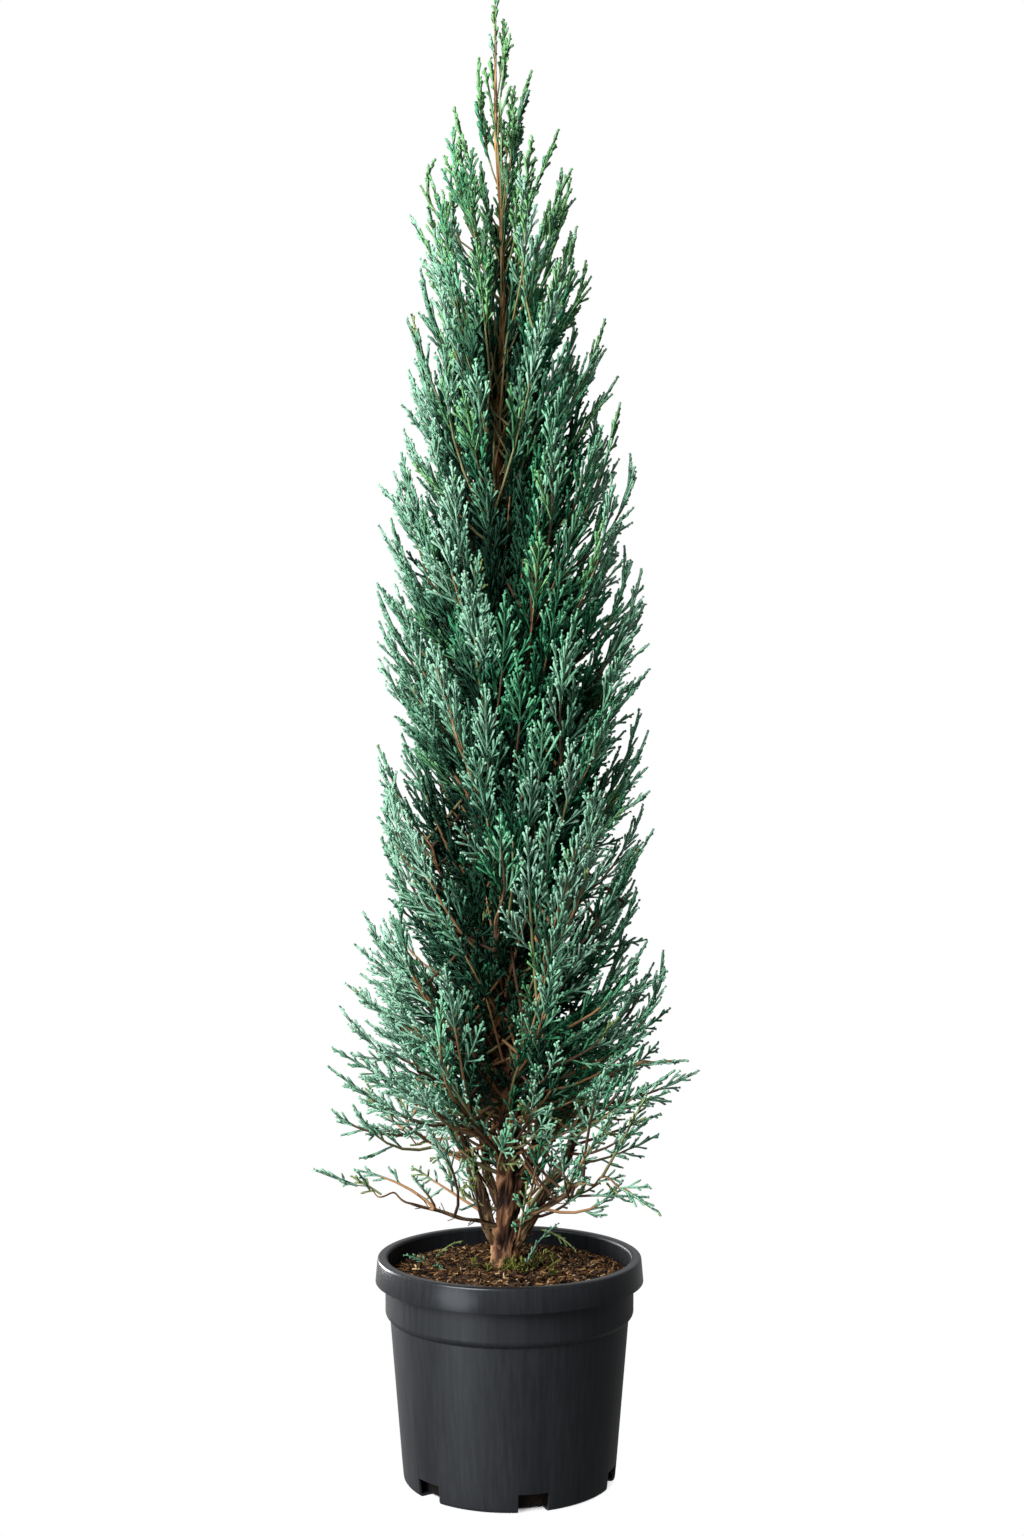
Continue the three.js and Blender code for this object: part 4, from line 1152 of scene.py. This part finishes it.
SIDE_LIGHT_REACH = 0.1
BLOOM_SHARE = 0.55
# Painted sheen: how much more often feathers on the lit left take the bloom tones.
SIDE_SHEEN = 5.0
FRESH_HEIGHTS = (0.9, 1.2, 1.45)
FRESH_SHARES = (0.01, 0.18, 0.85)
FRESH_DEPTH = 0.055
FRESH_LIGHT = 0.7
OLIVE_HEIGHTS = (0.34, 0.44)
OLIVE_LIMITS = (0.80, 0.992)
# Shoots deep in the crown are dealt darker tones and those near its surface lighter: painted shade, shallower
# in the skirt and near the top.
shoot_reach = feather_reach(shoot_heights)
shade_radius = np.interp(shoot_heights, SHADE_HEIGHTS, SHADE_RADII)
shoot_depth = np.minimum(shoot_reach, shade_radius) - crown_share(shoot_tips) * shoot_reach
shoot_tone = np.interp(shoot_depth, SHADE_DEPTHS, SHADE_TONES)
# Each feather gets a random tone of its own, and by height a painted light: lighter in the low skirt and
# round 1.1 m, a little darker near the top.
shoot_tone += leaf_random.normal(FEATHER_LIGHT, FEATHER_LIGHT_SPREAD, leafy_count)[shoot_leafy]
shoot_tone += np.interp(shoot_heights, FEATHER_LIGHT_HEIGHTS, FEATHER_LIGHTS)
# Feathers left of the middle take the greyer bloom tones more often and those on the right the greener ones:
# painted sheen on the lit side, over a random share of real bloom.
leafy_bloom_and_sheen = leaf_random.random(leafy_count) < BLOOM_SHARE - SIDE_SHEEN * leafy_curves[:, 2, 0]
shoot_bloom_and_sheen = BLOOM_TONE * leafy_bloom_and_sheen[shoot_leafy]
# Each shoot also gets a random tone. Shoots low on their feather are darker and those at its tip lighter, and
# shoots right of the middle are lighter: painted shade and light.
shoot_tone += leaf_random.normal(0, TONE_SPREAD, len(shoot_tone)) + TIP_LIGHT * (shoot_share - 0.5)
shoot_tone += np.interp(shoot_tips[:, 0], (0, SIDE_LIGHT_REACH), (0, SIDE_LIGHT))
shoot_level = np.digitize(shoot_tone, TONE_LEVELS)
shoot_tint = shoot_level + shoot_bloom_and_sheen
tip_tint = np.minimum(shoot_level + 1, len(TONE_LEVELS)) + shoot_bloom_and_sheen
odd = leaf_random.random(len(shoot_curves))
fresh = (odd < np.interp(shoot_heights, FRESH_HEIGHTS, FRESH_SHARES)) & (shoot_depth < FRESH_DEPTH)
# Fresh shoots take the lit copy of the fresh green where the painted light is strong, else the shaded copy.
shoot_tint[fresh] = FRESH_TONE + (shoot_tone[fresh] > FRESH_LIGHT)
tip_tint[fresh] = FRESH_TONE + 1
olive = odd > np.interp(shoot_heights, OLIVE_HEIGHTS, OLIVE_LIMITS)
shoot_tint[olive] = OLIVE_TONE
tip_tint[olive] = OLIVE_TONE

CORD_SIZES = {
    "spacing": (0.0082, 0.0079, 0.0080, 0.0076, 0.0054),
    "tilt": (40, 33, 25, 25, 32),
    "longest": (0.018, 0.032, 0.042, 0.027, 0.011),
}
CORD_HABIT = {"slope": 0.52, "forward": 0.5, "spread": 0.3, "least": 0.013}
CORD_RADII = (0.0015, 0.0016, 0.0016, 0.0017, 0.0019)
CORD_PROFILE = ((0, 0.85), (0.84, 1))
CORD_SIDES = 3
CORD_ROLL = math.pi / 3
STUB_HABIT = {"spacing": 0.009, "tilt": 23, "longest": 0.014, "slope": 0.65, "forward": 0.5,
              "spread": 0.3, "least": 0.017}
STUB_START = 0.25
STUB_DEPTH = 0.06
PIECE_TRIANGLES = 180000
cord_shoot, _, cord_growth = side_shoots(shoot_curves, **sizes_at(CORD_SIZES, shoot_tips), **CORD_HABIT)
cord_curves = bent(*cord_growth)
cord_kept = ~before_leader(cord_curves)
cord_curves = cord_curves[cord_kept]
cord_shoot = cord_shoot[cord_kept]
cord_radii = sized(CORD_RADII, cord_curves[:, 0])
stubbed = np.flatnonzero(shoot_depth[cord_shoot] < STUB_DEPTH)
stub_parent, _, stub_growth = side_shoots(part_of(cord_curves[stubbed], STUB_START, 1), **STUB_HABIT)
stub_cord = stubbed[stub_parent]
stub_shoot = cord_shoot[stub_cord]


def scaly(curves, radii, profile):
    """Three-sided pointed cords, each ring turned against the one before."""
    return limb_mesh(curves, np.broadcast_to(radii, len(curves)), profile, CORD_SIDES, CORD_ROLL)


spray_kinds = (
    (shoot_curves, np.full(len(shoot_curves), SHOOT_RADIUS), SHOOT_PROFILE, shoot_stem, shoot_tint),
    (cord_curves, cord_radii, CORD_PROFILE, shoot_stem[cord_shoot], shoot_tint[cord_shoot]),
    (bent(*stub_growth), cord_radii[stub_cord], CORD_PROFILE, shoot_stem[stub_shoot], tip_tint[stub_shoot]),
)
stem_triangles = np.zeros(stem_count)
for _, _, profile, stems, _ in spray_kinds:
    stem_triangles += np.bincount(stems, minlength=stem_count) * (2 * len(profile) - 1) * CORD_SIDES
piece_count = math.ceil(stem_triangles.sum() / PIECE_TRIANGLES)
stem_middles = np.cumsum(stem_triangles) - stem_triangles / 2
stem_piece = (piece_count * stem_middles / stem_triangles.sum()).astype(int)
leaf_tones = finishes("leaf", LEAF_TONES, 0.72, 0.1)
for piece in range(piece_count):
    spray_tubes = []
    for curves, radii, profile, stems, tints in spray_kinds:
        own = stem_piece[stems] == piece
        spray_tubes.append((scaly(curves[own], radii[own], profile), tints[own]))
    tube_piece(f"sprays_{piece + 1}", spray_tubes, leaf_tones,
               [name for name, place in zip(plume_names, stem_piece) if place == piece])

# Bare twigs
# Dead twigs are left all along the boughs and low on the trunk, where the leaves have dropped.
# They are brittle, brown to tan, forked at odd angles and about a millimetre thick.
TWIG_STRETCH = 10
TRUNK_TWIG_HEIGHTS = (0.285, 0.50)
BARE_TWIG_HABIT = {"spacing": 0.006, "tilt": 56, "longest": 0.030, "slope": 1.1, "forward": 0.3,
                   "spread": 1.4}
BARE_TWIG_RADIUS = 0.0007
BARE_TWIG_TINT_SHARES = (0.55, 0.2, 0.25)
bare_stretches = []
for axis in bough_axes + [trunk_at(np.linspace(*TRUNK_TWIG_HEIGHTS, BOUGH_RINGS))]:
    for first in range(TWIG_STRETCH // 2, BOUGH_RINGS - TWIG_STRETCH, TWIG_STRETCH):
        start, middle, end = axis[first], axis[first + TWIG_STRETCH // 2], axis[first + TWIG_STRETCH]
        bare_stretches.append([start, 2 * middle - (start + end) / 2, end])
_, _, bare_growth = side_shoots(np.array(bare_stretches), **BARE_TWIG_HABIT)
bare_twigs = bent(*bare_growth)
bare_tints = leaf_random.choice(len(twig_tones), len(bare_twigs), p=BARE_TWIG_TINT_SHARES)
tube_piece("bare_twigs", [(scaly(bare_twigs, BARE_TWIG_RADIUS, SHOOT_PROFILE), bare_tints)],
           twig_tones)

# Moss and sprigs
# Moss and small weeds stand round the trunk's foot, most of them on its right. A few young
# juniper sprigs lie on the soil or rise from it.
MOSS_COUNT = 60
MOSS_HEIGHTS = (0.004, 0.022)
MOSS_CLUMPS = np.array([(0.014, -0.018), (0.026, -0.010), (0.004, -0.026), (-0.030, -0.016),
                        (0.056, -0.010), (0.040, -0.046)])
CLUMP_SHARES = (0.32, 0.26, 0.2, 0.08, 0.07, 0.07)
CLUMP_SPREAD = 0.010
MOSS_SINK = 0.001
MOSS_LEAN = 0.55
MOSS_NOD = 0.7
MOSS_STEM_RADIUS = 0.0006
MOSS_LEAF_RADIUS = 0.0009
MOSS_HABIT = {"spacing": 0.0022, "tilt": 46, "longest": 0.010, "slope": 0.7, "forward": 0.4, "spread": 1.2}
MOSS_TONES = {
    "dark": (0.045, 0.045, 0.012),
    "green": (0.125, 0.135, 0.026),
    "light": (0.23, 0.24, 0.065),
    "straw": (0.24, 0.165, 0.07),
}
MOSS_TINT_SHARES = (0.3, 0.38, 0.22, 0.1)
moss_random = np.random.default_rng(23)
moss_places = MOSS_CLUMPS[moss_random.choice(len(MOSS_CLUMPS), MOSS_COUNT, p=CLUMP_SHARES)]
moss_places = moss_places + moss_random.normal(0, CLUMP_SPREAD, moss_places.shape)
moss_heights = between(MOSS_HEIGHTS, moss_random.random(MOSS_COUNT) ** 2)
moss_levels = soil_level(np.linalg.norm(moss_places, axis=1)) - MOSS_SINK
moss_roots = np.concatenate([moss_places, moss_levels[:, None]], axis=1)
moss_ways = unit(UP + moss_random.normal(0, MOSS_LEAN, (MOSS_COUNT, 3)))
moss_ends = unit(UP + moss_random.normal(0, MOSS_NOD, (MOSS_COUNT, 3)))
moss_stems = bent(moss_roots, moss_ways, moss_ends, moss_heights)
moss_stem, _, moss_leaf_growth = side_shoots(moss_stems, **MOSS_HABIT)
moss_leaves = bent(*moss_leaf_growth)
moss_tints = moss_random.choice(len(MOSS_TONES), MOSS_COUNT, p=MOSS_TINT_SHARES)
tube_piece("moss_tufts", [
    (scaly(moss_stems, MOSS_STEM_RADIUS, SHOOT_PROFILE), moss_tints),
    (scaly(moss_leaves, MOSS_LEAF_RADIUS, CORD_PROFILE), moss_tints[moss_stem]),
], finishes("moss", MOSS_TONES, 0.8, 0.1))

SPRIGS = np.array([
    [(-0.083, 0.030, 0.214), (-0.076, 0.022, 0.240), (-0.050, 0.016, 0.246)],
    [(-0.085, 0.028, 0.214), (-0.094, 0.020, 0.226), (-0.112, 0.012, 0.232)],
    [(-0.088, 0.020, 0.214), (-0.080, 0.006, 0.222), (-0.070, -0.016, 0.224)],
    [(0.034, -0.018, 0.266), (0.052, -0.022, 0.264), (0.070, -0.028, 0.246)],
    [(0.016, -0.020, 0.224), (0.024, -0.024, 0.256), (0.052, -0.032, 0.276)],
])
SPRIG_TONES = ("olive", "bloom_teal", "bloom_plain", "olive", "bloom_pale")
SPRIG_HABIT = {"spacing": 0.0042, "tilt": 36, "longest": 0.010, "slope": 0.4, "forward": 0.5, "spread": 0.5}
SPRIG_RADIUS = 0.0011
SPRIG_SIDES = 4
sprig_tints = np.array([list(LEAF_TONES).index(name) for name in SPRIG_TONES])
sprig_parent, _, sprig_growth = side_shoots(SPRIGS, **SPRIG_HABIT)
tube_piece("soil_sprigs", [
    (limb_mesh(SPRIGS, np.full(len(SPRIGS), SPRIG_RADIUS), FEATHER_PROFILE, SPRIG_SIDES), sprig_tints),
    (scaly(bent(*sprig_growth), SPRIG_RADIUS, CORD_PROFILE), sprig_tints[sprig_parent]),
], leaf_tones)
